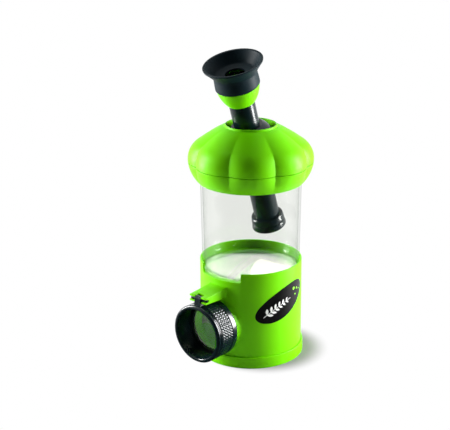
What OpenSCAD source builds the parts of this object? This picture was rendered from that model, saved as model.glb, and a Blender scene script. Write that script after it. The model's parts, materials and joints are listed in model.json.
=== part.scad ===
// Insect viewer: a clear jar on a mirror base, a lobed cap with a tilting viewer, a flip-up magnifier.
// Millimetres, +Z up, origin at the centre of the underside. The magnifier looks along +Y from the front.

/* [Base] */
// Outer radius of the base housing
base_r = 45; // [43:0.5:48]
// Wall of the base housing
base_wall = 2.5; // [2.2:0.1:3.2]
// Height of the foot ring
foot_h = 10.5; // [8:0.5:13]
// Distance that the foot ring stands proud of the housing
foot_step = 1.5; // [1.2:0.1:2.5]
// Thickness of the underside plate
cover_t = 3; // [2.8:0.1:4]
// Depth of the recess that takes the jar
pocket_depth = 8; // [6:0.5:11]
// Wall of the rim round that recess
rim_wall = 1.67; // [1.2:0.01:2.2]
// Width of the ledge under the jar
ledge_w = 4.5; // [3:0.5:7]
// Thickness of the ledge under the jar
ledge_t = 2.5; // [2:0.1:3.5]
// Half angle of the notch in the rim, degrees
notch_half = 28.6; // [15:0.1:40]

/* [Port and mirror] */
// Bore radius of the port
port_bore_r = 20; // [16:0.5:21]
// Height of the port stub above the foot ring
port_lift = 4.6; // [3:0.1:7]
// Wall of the port stub
port_wall = 2.3; // [1.8:0.1:2.6]
// Reach of the port stub in front of the housing
port_reach = 3.4; // [2:0.1:5]
// Thickness of the mirror
mirror_t = 2; // [1.5:0.1:3]
// Distance of the mirror's edge from the housing wall
mirror_edge = 5; // [4:0.1:8]
// Height of the mirror's low edge above the underside plate
mirror_lift = 6.8; // [5:0.1:9]
// Distance of the mirror's high edge below the ledge
mirror_room = 5.9; // [5:0.1:9]
// Thickness of the sloping plate under the mirror
carrier_t = 2.5; // [2:0.1:3]
// Height of the carrier's rim above the mirror's edge
carrier_rim = 0.8; // [0.4:0.1:1.5]

/* [Hinge arm] */
// Width of the hinge arm
arm_w = 18.8; // [16:0.2:22]
// Height of the jar's ledge above the arm
arm_room = 4.1; // [3:0.1:8]
// Height of the arm's two jaws
jaw_h = 6; // [5.4:0.1:7]
// Height of the hinge pin above the magnifier ring
pin_up = 5.7; // [5.3:0.1:8]
// Distance of the hinge pin behind the magnifier's front
pin_back = 4.9; // [4.2:0.1:7]
// Radius of the hinge pin
pin_r = 1.45; // [1.2:0.05:1.6]
// Distance of the pin behind the arm's front face
pin_inset = 2; // [1.8:0.1:3]
// Width of the gap between the jaws
jaw_gap = 7; // [6.4:0.1:9]

/* [Magnifier] */
// Wall of the magnifier ring outside its hood
mag_wall = 3.5; // [3.2:0.1:4]
// Length of the magnifier ring
mag_len = 24.7; // [23:0.1:26]
// Width of the rounded front lip
mag_lip = 2.4; // [1.5:0.1:3]
// Distance of the knurled band from the front
knurl_from = 5.5; // [5:0.1:8]
// Width of the knurled band
knurl_w = 13.5; // [8:0.1:15]
// Distance that the hood's mouth stands outside the lens
hood_step = 1; // [0.8:0.1:1.5]
// Distance that the lens reaches past the port's bore
lens_past = 1.4; // [1.2:0.1:1.6]
// Thickness of the magnifier lens at its edge
mag_lens_edge = 2.2; // [1.5:0.1:3]
// Distance of the lens seat from the back of the ring
lens_back = 4.5; // [3.7:0.1:5.7]

/* [Label] */
// Half length of the label plate
label_a = 27.7; // [20:0.1:30]
// Half width of the label plate
label_b = 12.8; // [9:0.1:15]
// Thickness of the label plate
label_t = 0.4; // [0.3:0.05:0.8]
// Distance of the label's centre below the rim
label_drop = 29.7; // [27:0.1:36]
// Turn of the label round the housing from the port, degrees
label_turn = 79; // [70:1:110]
// Rise of the label's long axis, degrees
label_rise = 26; // [0:1:30]

/* [Jar] */
// Draft of the jar wall, degrees
jar_draft = 0.97; // [0.5:0.01:1]
// Height of the upright viewer's mouth above the jar floor
view_gap = 24.9; // [21:0.1:30]
// Wall of the jar
jar_wall = 1.8; // [1.5:0.1:2.2]
// Thickness of the jar floor
jar_floor = 2.4; // [2:0.1:3]

/* [Cap] */
// Number of lobes
lobes = 8; // [6:1:10]
// Turn of the cap on the jar, degrees
cap_turn = 41; // [0:1:90]
// Wall of the skirt at the cap's lower edge
skirt_wall = 1.54; // [1.2:0.01:2.2]
// Height of the widest point above the cap's lower edge
belly_up = 19.4; // [18.5:0.1:20]
// Distance of the parting line below the widest point
seam_drop = 2.8; // [2.4:0.1:3.4]
// Radius of the curve below the widest point
skirt_round = 26.9; // [26.5:0.1:27.5]
// Radius of the curve above the widest point
dome_round = 19; // [18:0.1:20]
// Slope of the upper cone, degrees
taper_angle = 30.2; // [29:0.1:31]
// Depth of the creases between the lobes
crease_depth = 3.2; // [1:0.1:3.6]
// Distance that the cap's skirt reaches down over the jar
skirt_lap = 12.8; // [12:0.1:13.2]
// Wall of the cap
cap_wall = 2.2; // [1.8:0.1:2.4]
// Distance that the opening's edge reaches over the ball
mouth_grip = 1.9; // [1.4:0.1:2.5]
// Width of the raised lip
lip_w = 1.5; // [1.2:0.1:2]
// Height of the raised lip above the cone's end
lip_h = 1.3; // [1:0.1:2]
// Thickness of the inner flange over the jar rim
flange_t = 2.5; // [2:0.1:3]
// Gap between the screw heads in that flange and the jar wall
screw_side = 1.2; // [0.8:0.1:2]

/* [Ball joint] */
// Radius of the swivel ball
ball_r = 23; // [22.5:0.1:23.2]
// Height of the ball's centre above the cap's lower edge
ball_up = 32.1; // [31.5:0.1:32.5]
// Gap between the leaning objective and the jar wall
lean_gap = 0.91; // [0.8:0.01:3]
// Wall of the ball
ball_wall = 2.4; // [2:0.1:3]
// Number of ribs in the ball
ball_ribs = 6; // [4:1:8]
// Height of the friction ring under the ball
seat_h = 3; // [2:0.1:3.4]
// Distance that the friction ring stands outside the ball
seat_step = 1.6; // [1.2:0.1:2]
// Thickness of the retainer's plate
retainer_t = 2.5; // [2:0.1:3]

/* [Viewer] */
// Outer radius of the viewer tube
tube_r = 11.15; // [10:0.05:11.5]
// Wall of the viewer tube
tube_wall = 1.25; // [1:0.05:1.5]
// Distance from the ball's centre down to the objective's mouth
reach_down = 84.3; // [80:0.1:85]
// Distance from the ball's centre up to the bowl's foot
bowl_from = 40.8; // [39:0.1:44]
// Height of the bowl
bowl_h = 15.4; // [14:0.1:16]
// Wall of the bowl at its foot
bowl_foot = 0.75; // [0.7:0.05:1.3]
// Growth of the bowl's radius from its foot to its top
bowl_flare = 6.6; // [6:0.1:7]
// Radius of the bowl's side curve
bowl_round = 30.3; // [28:0.1:36]
// Step from the bowl's top to the barrel inside the eyecup
barrel_step = 1.2; // [1.1:0.1:1.7]
// Wall of that barrel
barrel_wall = 4.2; // [3.7:0.1:5]
// Height of the barrel above the bowl
barrel_h = 10; // [9:0.1:10.5]
// Thickness of the eyepiece lens at its edge
eye_lens_edge = 2; // [1.5:0.1:2.5]

/* [Eyecup] */
// Distance that the eyecup's lower edge stands outside the bowl
cup_step = 0.7; // [0.4:0.1:1.5]
// Wall of the eyecup at its waist
cup_wall = 1.5; // [1.3:0.1:1.9]
// Growth of the eyecup's radius from its waist to its rim
cup_flare = 7.05; // [5.5:0.05:8.2]
// Height of the eyecup
cup_h = 22.1; // [21:0.1:23]
// Height of the waist above the lower edge
cup_waist_up = 10.9; // [10:0.1:11.5]
// Radius of the curve at the waist
cup_waist_round = 4; // [2:0.5:8]
// Gap between the barrel and the inner floor
cup_air = 0.8; // [0.4:0.1:1.4]
// Thickness of the inner floor
cup_floor_t = 1.8; // [1.5:0.1:2]
// Step from the waist's radius to the inner floor's
cup_floor_in = 2.9; // [2.3:0.1:4.8]
// Radius of the eye hole in the floor
cup_hole_r = 8.4; // [7:0.1:10]
// Width of the rim
cup_rim_w = 2.55; // [1.9:0.05:3.4]

/* [Objective] */
// Height of the collar on the tube
collar_h = 6.4; // [5.5:0.1:7]
// Distance that the collar's shoulder stands outside the tube
collar_step = 2.95; // [2.4:0.05:3.3]
// Growth of the collar's radius from its shoulder to the parting groove
collar_flare = 0.6; // [0.3:0.1:0.9]
// Height of the turning ring
cell_h = 5.2; // [4.5:0.1:6]
// Growth of the turning ring's radius from that groove to its mouth
cell_flare = 0.6; // [0.3:0.1:0.8]
// Length of the objective's barrel inside the tube
cell_barrel = 7.3; // [6.6:0.1:8]
// Wall of the objective's barrel
cell_wall = 2.55; // [2.35:0.05:3.2]
// Thickness of the objective lens at its edge
obj_lens_edge = 1.6; // [1.2:0.1:2]

/* [Screws] */
// Radius of a screw's shank
shank_r = 1.4; // [1.2:0.05:1.6]
// Length of a screw's shank
shank_len = 9; // [7:0.5:9.5]
// Radius of a screw's head
head_r = 2.8; // [2.4:0.1:3]
// Height of a screw's head
head_h = 1.7; // [1.4:0.1:1.9]

/* [Clearances] */
// Gap round the jar in its recess and in the cap
jar_gap = 0.34; // [0.3:0.02:0.4]
// Gap between the ball and its socket
ball_gap = 0.3; // [0.2:0.05:0.3]
// Running gap of the tube in the ball, of the pin in the jaws and of the objective in the tube
run_gap = 0.05; // [0.03:0.01:0.08]
// Gap round pieces that are seated in one another
seat_gap = 0.1; // [0.08:0.01:0.15]
// Gap between the magnifier and the port
mag_gap = 0.3; // [0.2:0.05:0.6]
// Gap between the turning ring and the collar
ring_gap = 0.3; // [0.2:0.05:0.4]
// Gap between the magnifier's tab and the hinge arm
hinge_gap = 0.34; // [0.3:0.02:0.5]

/* [Hidden] */
$fn = 96;

// Colours
lime = "#76d000";
black = "#10191a";
rubber = "#141716";
clear = [0.86, 0.9, 0.89, 0.3];
silver = "#c9ced2";
felt = "#3a3d3c";
pale = "#e6e8e4";

// Overrun of cuts and bite of joined shapes
over = 1;
bite = 0.4;
// Small edge chamfer on moulded pieces
edge = 0.6;
// Width of the ledge that holds a lens by its rim
lens_stop = 1.2;

// Port and magnifier, measured from the magnifier's front face where not from the axis
port_z = foot_h + port_lift + port_wall + port_bore_r;
mag_lens_r = port_bore_r + lens_past;
mag_view_r = mag_lens_r - lens_stop;
mag_seat_r = mag_lens_r + seat_gap;
hood_r = mag_lens_r + hood_step;
mag_r = hood_r + mag_wall;
lens_seat = mag_len - lens_back;
mag_back_y = -(base_r + port_reach + mag_gap);
mag_front_y = mag_back_y - mag_len;
mag_hold = 1.4;
mag_ring_t = 1.2;
mag_sag = 2.2;
knurl_d = 0.35;
groove_count = 3;
groove_d = 0.35;
groove_pitch = (knurl_from - knurl_d - mag_lip) / groove_count;
groove_w = groove_pitch / 2;

// Hinge
pin_y = mag_front_y + pin_back;
pin_z = port_z + mag_r + pin_up;
arm_tip = pin_inset - pin_y;
arm_root = base_r - base_wall + over;
arm_rise = 3.6;
arm_lift = 2;
jaw_round = 1.5;
slot_h = 2 * pin_r - 2 * seat_gap;
knuckle_r = jaw_h / 2 - hinge_gap;
tab_w = jaw_gap - 2 * hinge_gap;
tab_back = 1.5;
pin_len = arm_w - 2 * edge;

// Base
base_in = base_r - base_wall;
foot_r = base_r + foot_step;
foot_band = 3;
foot_groove = 7.5;
rest_r = base_r - foot_band;
rest_in = rest_r - foot_groove;
rest_up = 0.8;
head_sink = 0.4;
head_top = head_h + head_sink;
ledge_z = pin_z + jaw_h / 2 + arm_rise + arm_room;
base_h = ledge_z + pocket_depth;
pocket_r = base_r - rim_wall;
jar_r0 = pocket_r - jar_gap - pocket_depth * tan(jar_draft);
ledge_r = jar_r0 - ledge_w;
label_z = base_h - label_drop;
boss_r = 4.2;
boss_at = base_in - boss_r + bite;
boss_top = cover_t + shank_len + 2 * shank_r;
boss_turns = [30, 150, 270];
pilot_r = shank_r + run_gap;

// Mirror: its face is at 45 degrees through the port's axis
slope = 45;
mirror_r = base_in - mirror_edge;
mirror_low = -(port_z - cover_t - mirror_lift) / sin(slope);
mirror_high = (ledge_z - ledge_t - mirror_room - port_z) / sin(slope);
carrier_low = mirror_low - carrier_t;
carrier_high = mirror_high + mirror_t;
carrier_r = base_in - seat_gap;
gusset_side = 15.5;
gusset_x = mirror_r - gusset_side;
gusset_t = 2.5;
gusset_gap = 10.5;
gusset_back = base_in - gusset_gap;
under_mirror = (mirror_t + carrier_t) / cos(slope);

// Jar
jar_z = ledge_z;
jar_h = reach_down + view_gap + jar_floor + skirt_lap - ball_up;
jar_top = jar_z + jar_h;
jar_in_round = 1.2;
jar_foot_cut = 0.8;
function jar_r(z) = jar_r0 + (z - jar_z) * tan(jar_draft);

// Cap
rim_hole_r = jar_r(jar_top) + jar_gap;
belly_r = rim_hole_r + skirt_wall + skirt_round - sqrt(pow(skirt_round, 2) - pow(belly_up, 2));
skirt_z = jar_top - skirt_lap;
seam_up = belly_up - seam_drop;
seam_z = skirt_z + seam_up;
belly_z = skirt_z + belly_up;
taper_z = belly_z + dome_round * cos(taper_angle);
taper_r = belly_r - dome_round + dome_round * sin(taper_angle);
mouth_r = ball_r - mouth_grip;
lip_r = mouth_r + lip_w;
cone_end_r = lip_r + edge;
cone_z = taper_z + (taper_r - cone_end_r) * tan(taper_angle);
mouth_z = cone_z + lip_h;
seam_cut = 0.4;
lobe_steps = 12;
collar_wall = 1.8;
collar_out = rim_hole_r + collar_wall;
flange_top = jar_top + flange_t;

// Ball joint
ball_z = skirt_z + ball_up;
socket_r = ball_r + ball_gap;
socket_out = socket_r + cap_wall;
seat_r = ball_r + seat_step;
retainer_in = seat_r + ball_gap;
retainer_out = retainer_in + cap_wall;
seat_drop = 8;
shelf_z = ball_z - seat_drop;
retainer_z = shelf_z - retainer_t;
retainer_top = ball_z - ball_gap;
fix_r = 3.2;
fix_gap = 0.4;
fix_at = retainer_out + fix_r + fix_gap;
cap_fix_at = jar_r(jar_top) - jar_wall - screw_side - head_r;
flange_r = cap_fix_at - fix_r - head_r + bite;
fix_turns = [0, 90, 180, 270];
half_turn = 45;
ball_top = sqrt(pow(ball_r, 2) - pow(tube_r + ball_wall, 2));
ball_cut = 8;
ball_low = ball_r - ball_cut;
sleeve_r = tube_r + run_gap + ball_wall;
ball_rib_t = 1.6;

// Viewer, measured along its axis from the ball's centre; it leans until its mouth is near the jar wall
tube_bore = tube_r - tube_wall;
bowl_r0 = tube_r + bowl_foot;
bowl_r1 = bowl_r0 + bowl_flare;
barrel_r = bowl_r1 - barrel_step;
bowl_to = bowl_from + bowl_h;
barrel_to = bowl_to + barrel_h;
tube_to = bowl_from + bowl_h / 2;
hollow_r = barrel_r - barrel_wall;
eye_lens_r = hollow_r - seat_gap;
eye_seat = bowl_to + barrel_h / 3;
eye_ring_t = 2;
eye_sag = 1.8;
collar_r0 = tube_r + collar_step;
collar_r1 = collar_r0 + collar_flare;
cell_r = collar_r1 + cell_flare;
cell_top = -reach_down + cell_h;
collar_from = cell_top + ring_gap;
collar_to = collar_from + collar_h;
collar_round = 1.6;
tube_from = collar_from + seat_gap;
cell_barrel_r = tube_bore - run_gap;
cell_bore = cell_barrel_r - cell_wall;
obj_lens_r = cell_bore - seat_gap;
cell_seat = cell_top + obj_lens_edge;
cell_lip = 2.8;
cell_mouth_r = cell_r - cell_lip;
cell_cut = 0.7;
obj_ring_t = 1.2;
obj_sag = 1.1;
lean = asin((jar_r0 - jar_wall - lean_gap) / norm([reach_down, cell_r])) - atan(cell_r / reach_down);

// Eyecup, measured the same way
cup_r0 = bowl_r1 + cup_step;
cup_waist_r = barrel_r + cup_wall;
cup_rim_r = cup_waist_r + cup_flare;
cup_mouth_r = cup_rim_r - cup_rim_w;
cup_floor_r = cup_waist_r - cup_floor_in;
cup_from = bowl_to;
cup_to = cup_from + cup_h;
cup_waist = cup_from + cup_waist_up;
cup_floor = barrel_to + cup_air + cup_floor_t;
cup_edge = 1.2;
cup_lip = 0.9;

// Points on an arc round [r, z], from one angle to the other
function arc(r, z, radius, from, to, steps) =
    [for (i = [0:steps]) let (a = from + (to - from) * i / steps) [r + radius * cos(a), z + radius * sin(a)]];

// Outline of the lobes' peaks and of the creases between them
function peak_r(z) =
    z < belly_z ? belly_r - skirt_round + sqrt(pow(skirt_round, 2) - pow(belly_z - z, 2))
    : z < taper_z ? belly_r - dome_round + sqrt(pow(dome_round, 2) - pow(z - belly_z, 2))
    : taper_r - (z - taper_z) / tan(taper_angle);
function fade(z) = cos(90 * (z < belly_z ? (belly_z - z) / belly_up : (z - belly_z) / (cone_z - belly_z)));
function crease_r(z) = peak_r(z) - crease_depth * fade(z);

// Radius of a lobe at a turn from its middle: an arc through the peak and both creases
function lobe_r(z, turn) =
    let (p = peak_r(z), c = crease_r(z), d = (p * p - c * c) / (2 * (p - c * cos(180 / lobes))))
    d * cos(turn) + sqrt(pow(p - d, 2) - pow(d * sin(turn), 2));

// Solid through lobed rings; each ring is [height, inset]
module lobed_solid(rings) {
    count = lobes * lobe_steps;
    points = [for (ring = rings) for (i = [0:count - 1])
        let (turn = 360 / lobes * ((i % lobe_steps) / lobe_steps - 0.5), a = 360 * i / count,
            r = lobe_r(ring[0], turn) - ring[1])
        [r * cos(a), r * sin(a), ring[0]]];
    last = (len(rings) - 1) * count;
    sides = [for (k = [0:len(rings) - 2]) for (i = [0:count - 1])
        let (j = (i + 1) % count, a = k * count + i, b = k * count + j)
        each [[a, b + count, b], [a, a + count, b + count]]];
    bottom = [for (i = [0:count - 1]) i];
    top = [for (i = [count - 1:-1:0]) last + i];
    rotate([0, 0, cap_turn - 90 - 180 / lobes]) polyhedron(points, concat([bottom], sides, [top]));
}

// Lens with two round faces inside a flat rim, the rim from z = 0 to z = edge_t
module lens(r, edge_t, sag) {
    view_r = r - lens_stop - seat_gap;
    curve = (view_r * view_r + sag * sag) / (2 * sag);
    sweep = asin(view_r / curve);
    rotate_extrude() polygon(concat(
        arc(0, curve - sag, curve, -90, -90 + sweep, 8), [[r, 0], [r, edge_t]],
        arc(0, edge_t + sag - curve, curve, 90 - sweep, 90, 8)));
}

// Ring with plain walls
module ring(r, bore, h) {
    difference() {
        cylinder(r = r, h = h);
        translate([0, 0, -over]) cylinder(r = bore, h = h + 2 * over);
    }
}

// Screw that points up, its head below z = 0
module screw(len) {
    translate([0, 0, -head_h]) cylinder(r = head_r, h = head_h);
    cylinder(r = shank_r, h = len - shank_r);
    translate([0, 0, len - shank_r]) cylinder(r1 = shank_r, r2 = shank_r / 4, h = shank_r);
}

// Copies at some turns and a distance from the axis
module around(turns, distance) {
    for (a = turns) rotate([0, 0, a]) translate([distance, 0, 0]) children();
}

module in_viewer() {
    translate([0, 0, ball_z]) rotate([lean, 0, 0]) children();
}

module in_magnifier() {
    translate([0, mag_front_y, port_z]) rotate([-90, 0, 0]) children();
}

// Side outline of the hinge arm: x is the distance from the axis, y is the height
module arm_outline() {
    low = pin_z - jaw_h / 2;
    high = pin_z + jaw_h / 2;
    polygon(concat(
        [[arm_root, low + arm_lift], [arm_tip - jaw_h, low + edge], [arm_tip - jaw_h / 2, low]],
        arc(arm_tip - jaw_round, low + jaw_round, jaw_round, -90, 0, 6),
        arc(arm_tip - jaw_round, high - jaw_round, jaw_round, 0, 90, 6),
        [[arm_root, high + arm_rise]]));
}

module hinge_arm() {
    difference() {
        translate([arm_w / 2, 0, 0]) rotate([90, 0, -90]) linear_extrude(arm_w) arm_outline();
        translate([-jaw_gap / 2, -arm_tip - over, pin_z - jaw_h])
            cube([jaw_gap, pin_inset + over + knuckle_r + 2 * hinge_gap, 2 * jaw_h]);
        translate([-arm_w, pin_y, pin_z]) rotate([0, 90, 0]) cylinder(r = pin_r + run_gap, h = 2 * arm_w);
        translate([-arm_w, -arm_tip - over, pin_z - slot_h / 2]) cube([2 * arm_w, pin_inset + over, slot_h]);
    }
}

module housing_wall() {
    rotate_extrude() polygon([
        [base_in, cover_t], [base_r, cover_t], [base_r, base_h - edge], [base_r - edge, base_h],
        [pocket_r, base_h], [pocket_r, ledge_z], [ledge_r, ledge_z], [ledge_r, ledge_z - ledge_t],
        [base_in, ledge_z - ledge_t - (base_in - ledge_r) / 2]]);
}

module port_stub() {
    difference() {
        translate([0, 0, port_z]) rotate([90, 0, 0])
            cylinder(r = port_bore_r + port_wall, h = base_r + port_reach);
        cylinder(r = base_in, h = base_h);
    }
}

module base_housing() color(lime) {
    difference() {
        union() {
            housing_wall();
            port_stub();
            hinge_arm();
            around(boss_turns, boss_at) translate([0, 0, cover_t + seat_gap])
                cylinder(r = boss_r, h = boss_top - cover_t);
        }
        translate([0, 0, port_z]) rotate([90, 0, 0])
            cylinder(r = port_bore_r, h = base_r + port_reach + over);
        around(boss_turns, boss_at) cylinder(r = pilot_r, h = cover_t + shank_len + seat_gap);
        translate([0, 0, ledge_z]) linear_extrude(pocket_depth + over)
            polygon([[0, 0], 2 * base_r * [-sin(notch_half), -cos(notch_half)],
                2 * base_r * [0, -1], 2 * base_r * [sin(notch_half), -cos(notch_half)]]);
    }
}

module bottom_cover() color(lime) {
    difference() {
        rotate_extrude() polygon([
            [0, 0], [rest_in - rest_up, 0], [rest_in, rest_up], [rest_r - rest_up, rest_up], [rest_r, 0],
            [foot_r - edge, 0], [foot_r, edge],
            [foot_r, foot_h - edge], [foot_r - edge, foot_h], [base_r + seat_gap, foot_h],
            [base_r + seat_gap, cover_t], [0, cover_t]]);
        around(boss_turns, boss_at) cylinder(r = pilot_r + run_gap, h = cover_t + over);
        around(boss_turns, boss_at) translate([0, 0, -over])
            cylinder(r = head_r + seat_gap, h = head_top + over);
    }
}

module cover_screws() color(silver)
    around(boss_turns, boss_at) translate([0, 0, head_top]) screw(shank_len + cover_t - head_top);

// Slab along the mirror's slope, from one distance under the face to the other
module sloped_slab(low, high, under, t, width) {
    translate([0, 0, port_z]) rotate([slope, 0, 0]) translate([-width, low, -under - t])
        cube([2 * width, high - low, t]);
}

module mirror_carrier() color(pale) {
    intersection() {
        cylinder(r = carrier_r, h = base_h);
        union() {
            sloped_slab(carrier_low, carrier_high, mirror_t, carrier_t, base_r);
            difference() {
                sloped_slab(carrier_low, carrier_high, -carrier_rim, mirror_t + carrier_rim + bite, base_r);
                cylinder(r = mirror_r + seat_gap, h = base_h);
            }
            for (x = [-gusset_x, gusset_x - gusset_t]) translate([x + gusset_t, 0, 0])
                rotate([90, 0, -90]) linear_extrude(gusset_t) polygon([
                    [-(cover_t - port_z + under_mirror), cover_t], [-gusset_back, cover_t],
                    [-gusset_back, gusset_back + port_z - under_mirror + bite],
                    [-(cover_t - port_z + under_mirror) + bite, cover_t + bite]]);
            difference() {
                translate([-gusset_x, gusset_back - gusset_t, cover_t])
                    cube([2 * gusset_x, gusset_t, gusset_back + port_z - under_mirror - cover_t]);
                translate([0, 0, port_z]) rotate([slope, 0, 0])
                    translate([-base_r, -base_r, -mirror_t - carrier_t / 2])
                        cube([2 * base_r, 3 * base_r, base_r]);
            }
        }
    }
}

module mirror() color(silver) {
    intersection() {
        cylinder(r = mirror_r, h = base_h);
        sloped_slab(mirror_low, mirror_high, 0, mirror_t, base_r);
    }
}

module label_plate() color(black) {
    sides = 72;
    oval = [for (i = [0:sides - 1]) [label_a * cos(360 * i / sides), label_b * sin(360 * i / sides)]];
    intersection() {
        ring(base_r + label_t, base_r, base_h);
        rotate([0, 0, label_turn]) translate([0, 0, label_z]) rotate([90, 0, 0]) rotate([0, 0, label_rise])
            linear_extrude(2 * base_r) polygon(oval);
    }
}

module clear_jar() color(clear) {
    floor_z = jar_z + jar_floor;
    in_r = jar_r(floor_z) - jar_wall;
    rotate_extrude() polygon(concat(
        [[0, jar_z], [jar_r0 - jar_foot_cut, jar_z], [jar_r(jar_z + jar_foot_cut), jar_z + jar_foot_cut],
            [jar_r(jar_top), jar_top], [jar_r(jar_top) - jar_wall, jar_top]],
        arc(in_r - jar_in_round, floor_z + jar_in_round, jar_in_round, 0, -90, 6),
        [[0, floor_z]]));
}

// Inner surface of the upper shell, one wall inside the creases
function inner_dome(steps) = [for (i = [0:steps])
    let (a = (90 - taper_angle) * i / steps, z = belly_z + dome_round * sin(a),
        radius = dome_round - cap_wall - crease_depth * fade(z))
    [belly_r - dome_round + radius * cos(a), belly_z + radius * sin(a)]];

// Space inside the upper shell, down to the lower edge of the cap
module dome_space() {
    inner = inner_dome(6);
    end = inner[len(inner) - 1];
    tip_z = end[1] + (end[0] - mouth_r) * tan(taper_angle);
    rotate_extrude() polygon(concat(
        [[0, skirt_z], [crease_r(seam_z) - cap_wall, skirt_z]], inner, [[mouth_r, tip_z], [0, tip_z]]));
}

// Bosses that hang from the upper shell: four for the retainer and four for the lower shell
module cap_bosses() {
    intersection() {
        union() {
            around(fix_turns, fix_at) translate([0, 0, shelf_z]) cylinder(r = fix_r, h = mouth_z - shelf_z);
            rotate([0, 0, half_turn]) around(fix_turns, cap_fix_at)
                translate([0, 0, flange_top]) cylinder(r = fix_r, h = mouth_z - flange_top);
        }
        translate([0, 0, bite]) dome_space();
    }
}

module cap_upper_shell() color(lime) {
    dome_steps = 9;
    cone_steps = 4;
    rings = concat(
        [[seam_z, seam_cut], [seam_z + seam_cut, 0]],
        [for (i = [0:dome_steps]) [belly_z + dome_round * sin((90 - taper_angle) * i / dome_steps), 0]],
        [for (i = [1:cone_steps]) [taper_z + (cone_z - taper_z) * i / cone_steps, 0]]);
    difference() {
        union() {
            difference() {
                lobed_solid(rings);
                dome_space();
            }
            translate([0, 0, ball_z]) cylinder(r = socket_out, h = cone_z - ball_z - cap_wall);
            translate([0, 0, cone_z - cap_wall]) rotate_extrude() polygon(concat(
                [[mouth_r, 0], [lip_r, 0]],
                arc(lip_r - lip_w / 2, cap_wall + lip_h - lip_w / 2, lip_w / 2, 0, 180, 8)));
            cap_bosses();
        }
        translate([0, 0, ball_z]) sphere(r = socket_r);
        translate([0, 0, ball_z]) cylinder(r = mouth_r, h = mouth_z);
        around(fix_turns, fix_at) translate([0, 0, shelf_z - over])
            cylinder(r = pilot_r, h = shank_len + over);
        rotate([0, 0, half_turn]) around(fix_turns, cap_fix_at)
            translate([0, 0, flange_top - over]) cylinder(r = pilot_r, h = shank_len + over);
    }
}

module cap_lower_shell() color(lime) {
    skirt_steps = 8;
    rings = concat(
        [for (i = [0:skirt_steps]) [skirt_z + (seam_up - seam_cut) * i / skirt_steps, 0]],
        [[seam_z, seam_cut]]);
    hollow = [for (i = [0:6]) let (z = seam_z - (seam_up / 2) * (6 - i) / 6)
        [max(collar_out + bite, crease_r(z) - cap_wall), z]];
    difference() {
        lobed_solid(rings);
        translate([0, 0, skirt_z - over]) cylinder(r = rim_hole_r, h = skirt_lap + over);
        translate([0, 0, skirt_z]) cylinder(r = flange_r, h = belly_up);
        translate([0, 0, flange_top]) cylinder(r = collar_out + bite, h = belly_up);
        rotate_extrude() polygon(concat(
            [[collar_out, hollow[0][1]]], hollow,
            [[hollow[len(hollow) - 1][0], seam_z + over], [collar_out, seam_z + over]]));
        rotate([0, 0, half_turn]) around(fix_turns, cap_fix_at)
            translate([0, 0, jar_top - over]) cylinder(r = pilot_r + run_gap, h = belly_up);
    }
}

module cap_screws() color(silver)
    rotate([0, 0, half_turn]) around(fix_turns, cap_fix_at) translate([0, 0, jar_top]) screw(shank_len);

module ball_retainer() color(black) {
    difference() {
        union() {
            translate([0, 0, retainer_z]) cylinder(r = retainer_out, h = retainer_top - retainer_z);
            translate([0, 0, retainer_z]) cylinder(r = fix_at + fix_r + bite, h = retainer_t);
        }
        translate([0, 0, shelf_z]) cylinder(r = retainer_in, h = socket_out);
        translate([0, 0, ball_z]) sphere(r = socket_r);
        around(fix_turns, fix_at) translate([0, 0, retainer_z - over])
            cylinder(r = pilot_r + run_gap, h = socket_out);
        rotate([0, 0, half_turn]) around(fix_turns, cap_fix_at)
            translate([0, 0, retainer_z - over]) cylinder(r = fix_r + fix_gap, h = retainer_t + 2 * over);
    }
}

module retainer_screws() color(silver)
    around(fix_turns, fix_at) translate([0, 0, retainer_z]) screw(shank_len);

module seat_ring() color(felt) {
    difference() {
        translate([0, 0, shelf_z]) cylinder(r = seat_r, h = seat_h);
        translate([0, 0, ball_z]) sphere(r = socket_r);
    }
}

module swivel_ball() color(black) in_viewer() {
    difference() {
        intersection() {
            sphere(r = ball_r);
            union() {
                difference() {
                    translate([0, 0, -ball_low]) cylinder(r = ball_r, h = ball_low + ball_top);
                    intersection() {
                        sphere(r = ball_r - ball_wall);
                        translate([0, 0, -ball_low - over])
                            cylinder(r = ball_r, h = ball_low + over + ball_top - ball_wall);
                    }
                }
                translate([0, 0, -ball_low]) cylinder(r = sleeve_r, h = ball_low + ball_top);
                for (i = [0:ball_ribs - 1]) rotate([0, 0, 360 * (i + 0.5) / ball_ribs])
                    translate([tube_r + ball_wall / 2, -ball_rib_t / 2, ball_rib_t - ball_low])
                        cube([ball_r, ball_rib_t, ball_low - ball_rib_t + ball_top - ball_wall / 2]);
            }
        }
        translate([0, 0, -ball_r]) cylinder(r = tube_r + run_gap, h = 2 * ball_r);
    }
}

module scope_tube() color(black) in_viewer()
    translate([0, 0, tube_from]) ring(tube_r, tube_bore, tube_to - tube_from);

module eyepiece_housing() color(lime) in_viewer() {
    // Centre of the side curve, on the axis side, so that it passes through the bowl's foot and top
    half = sqrt(pow(bowl_r1 - bowl_r0, 2) + pow(bowl_h, 2)) / 2;
    turn = atan2(bowl_h, bowl_r1 - bowl_r0);
    depth = sqrt(pow(bowl_round, 2) - half * half);
    mid = [(bowl_r0 + bowl_r1) / 2, (bowl_from + bowl_to) / 2];
    centre = mid + depth * [-sin(turn), cos(turn)];
    from = atan2(bowl_from - centre[1], bowl_r0 - centre[0]);
    to = atan2(bowl_to - centre[1], bowl_r1 - centre[0]);
    rotate_extrude() polygon(concat(
        [[tube_r + seat_gap / 2, bowl_from]],
        arc(centre[0], centre[1], bowl_round, from, to, 10),
        [[barrel_r, bowl_to], [barrel_r, barrel_to - edge], [barrel_r - edge, barrel_to],
            [hollow_r, barrel_to], [hollow_r, eye_seat], [hollow_r - lens_stop, eye_seat],
            [hollow_r - lens_stop, bowl_to], [tube_bore, tube_to + seat_gap],
            [tube_r + seat_gap / 2, tube_to + seat_gap]]));
}

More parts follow.
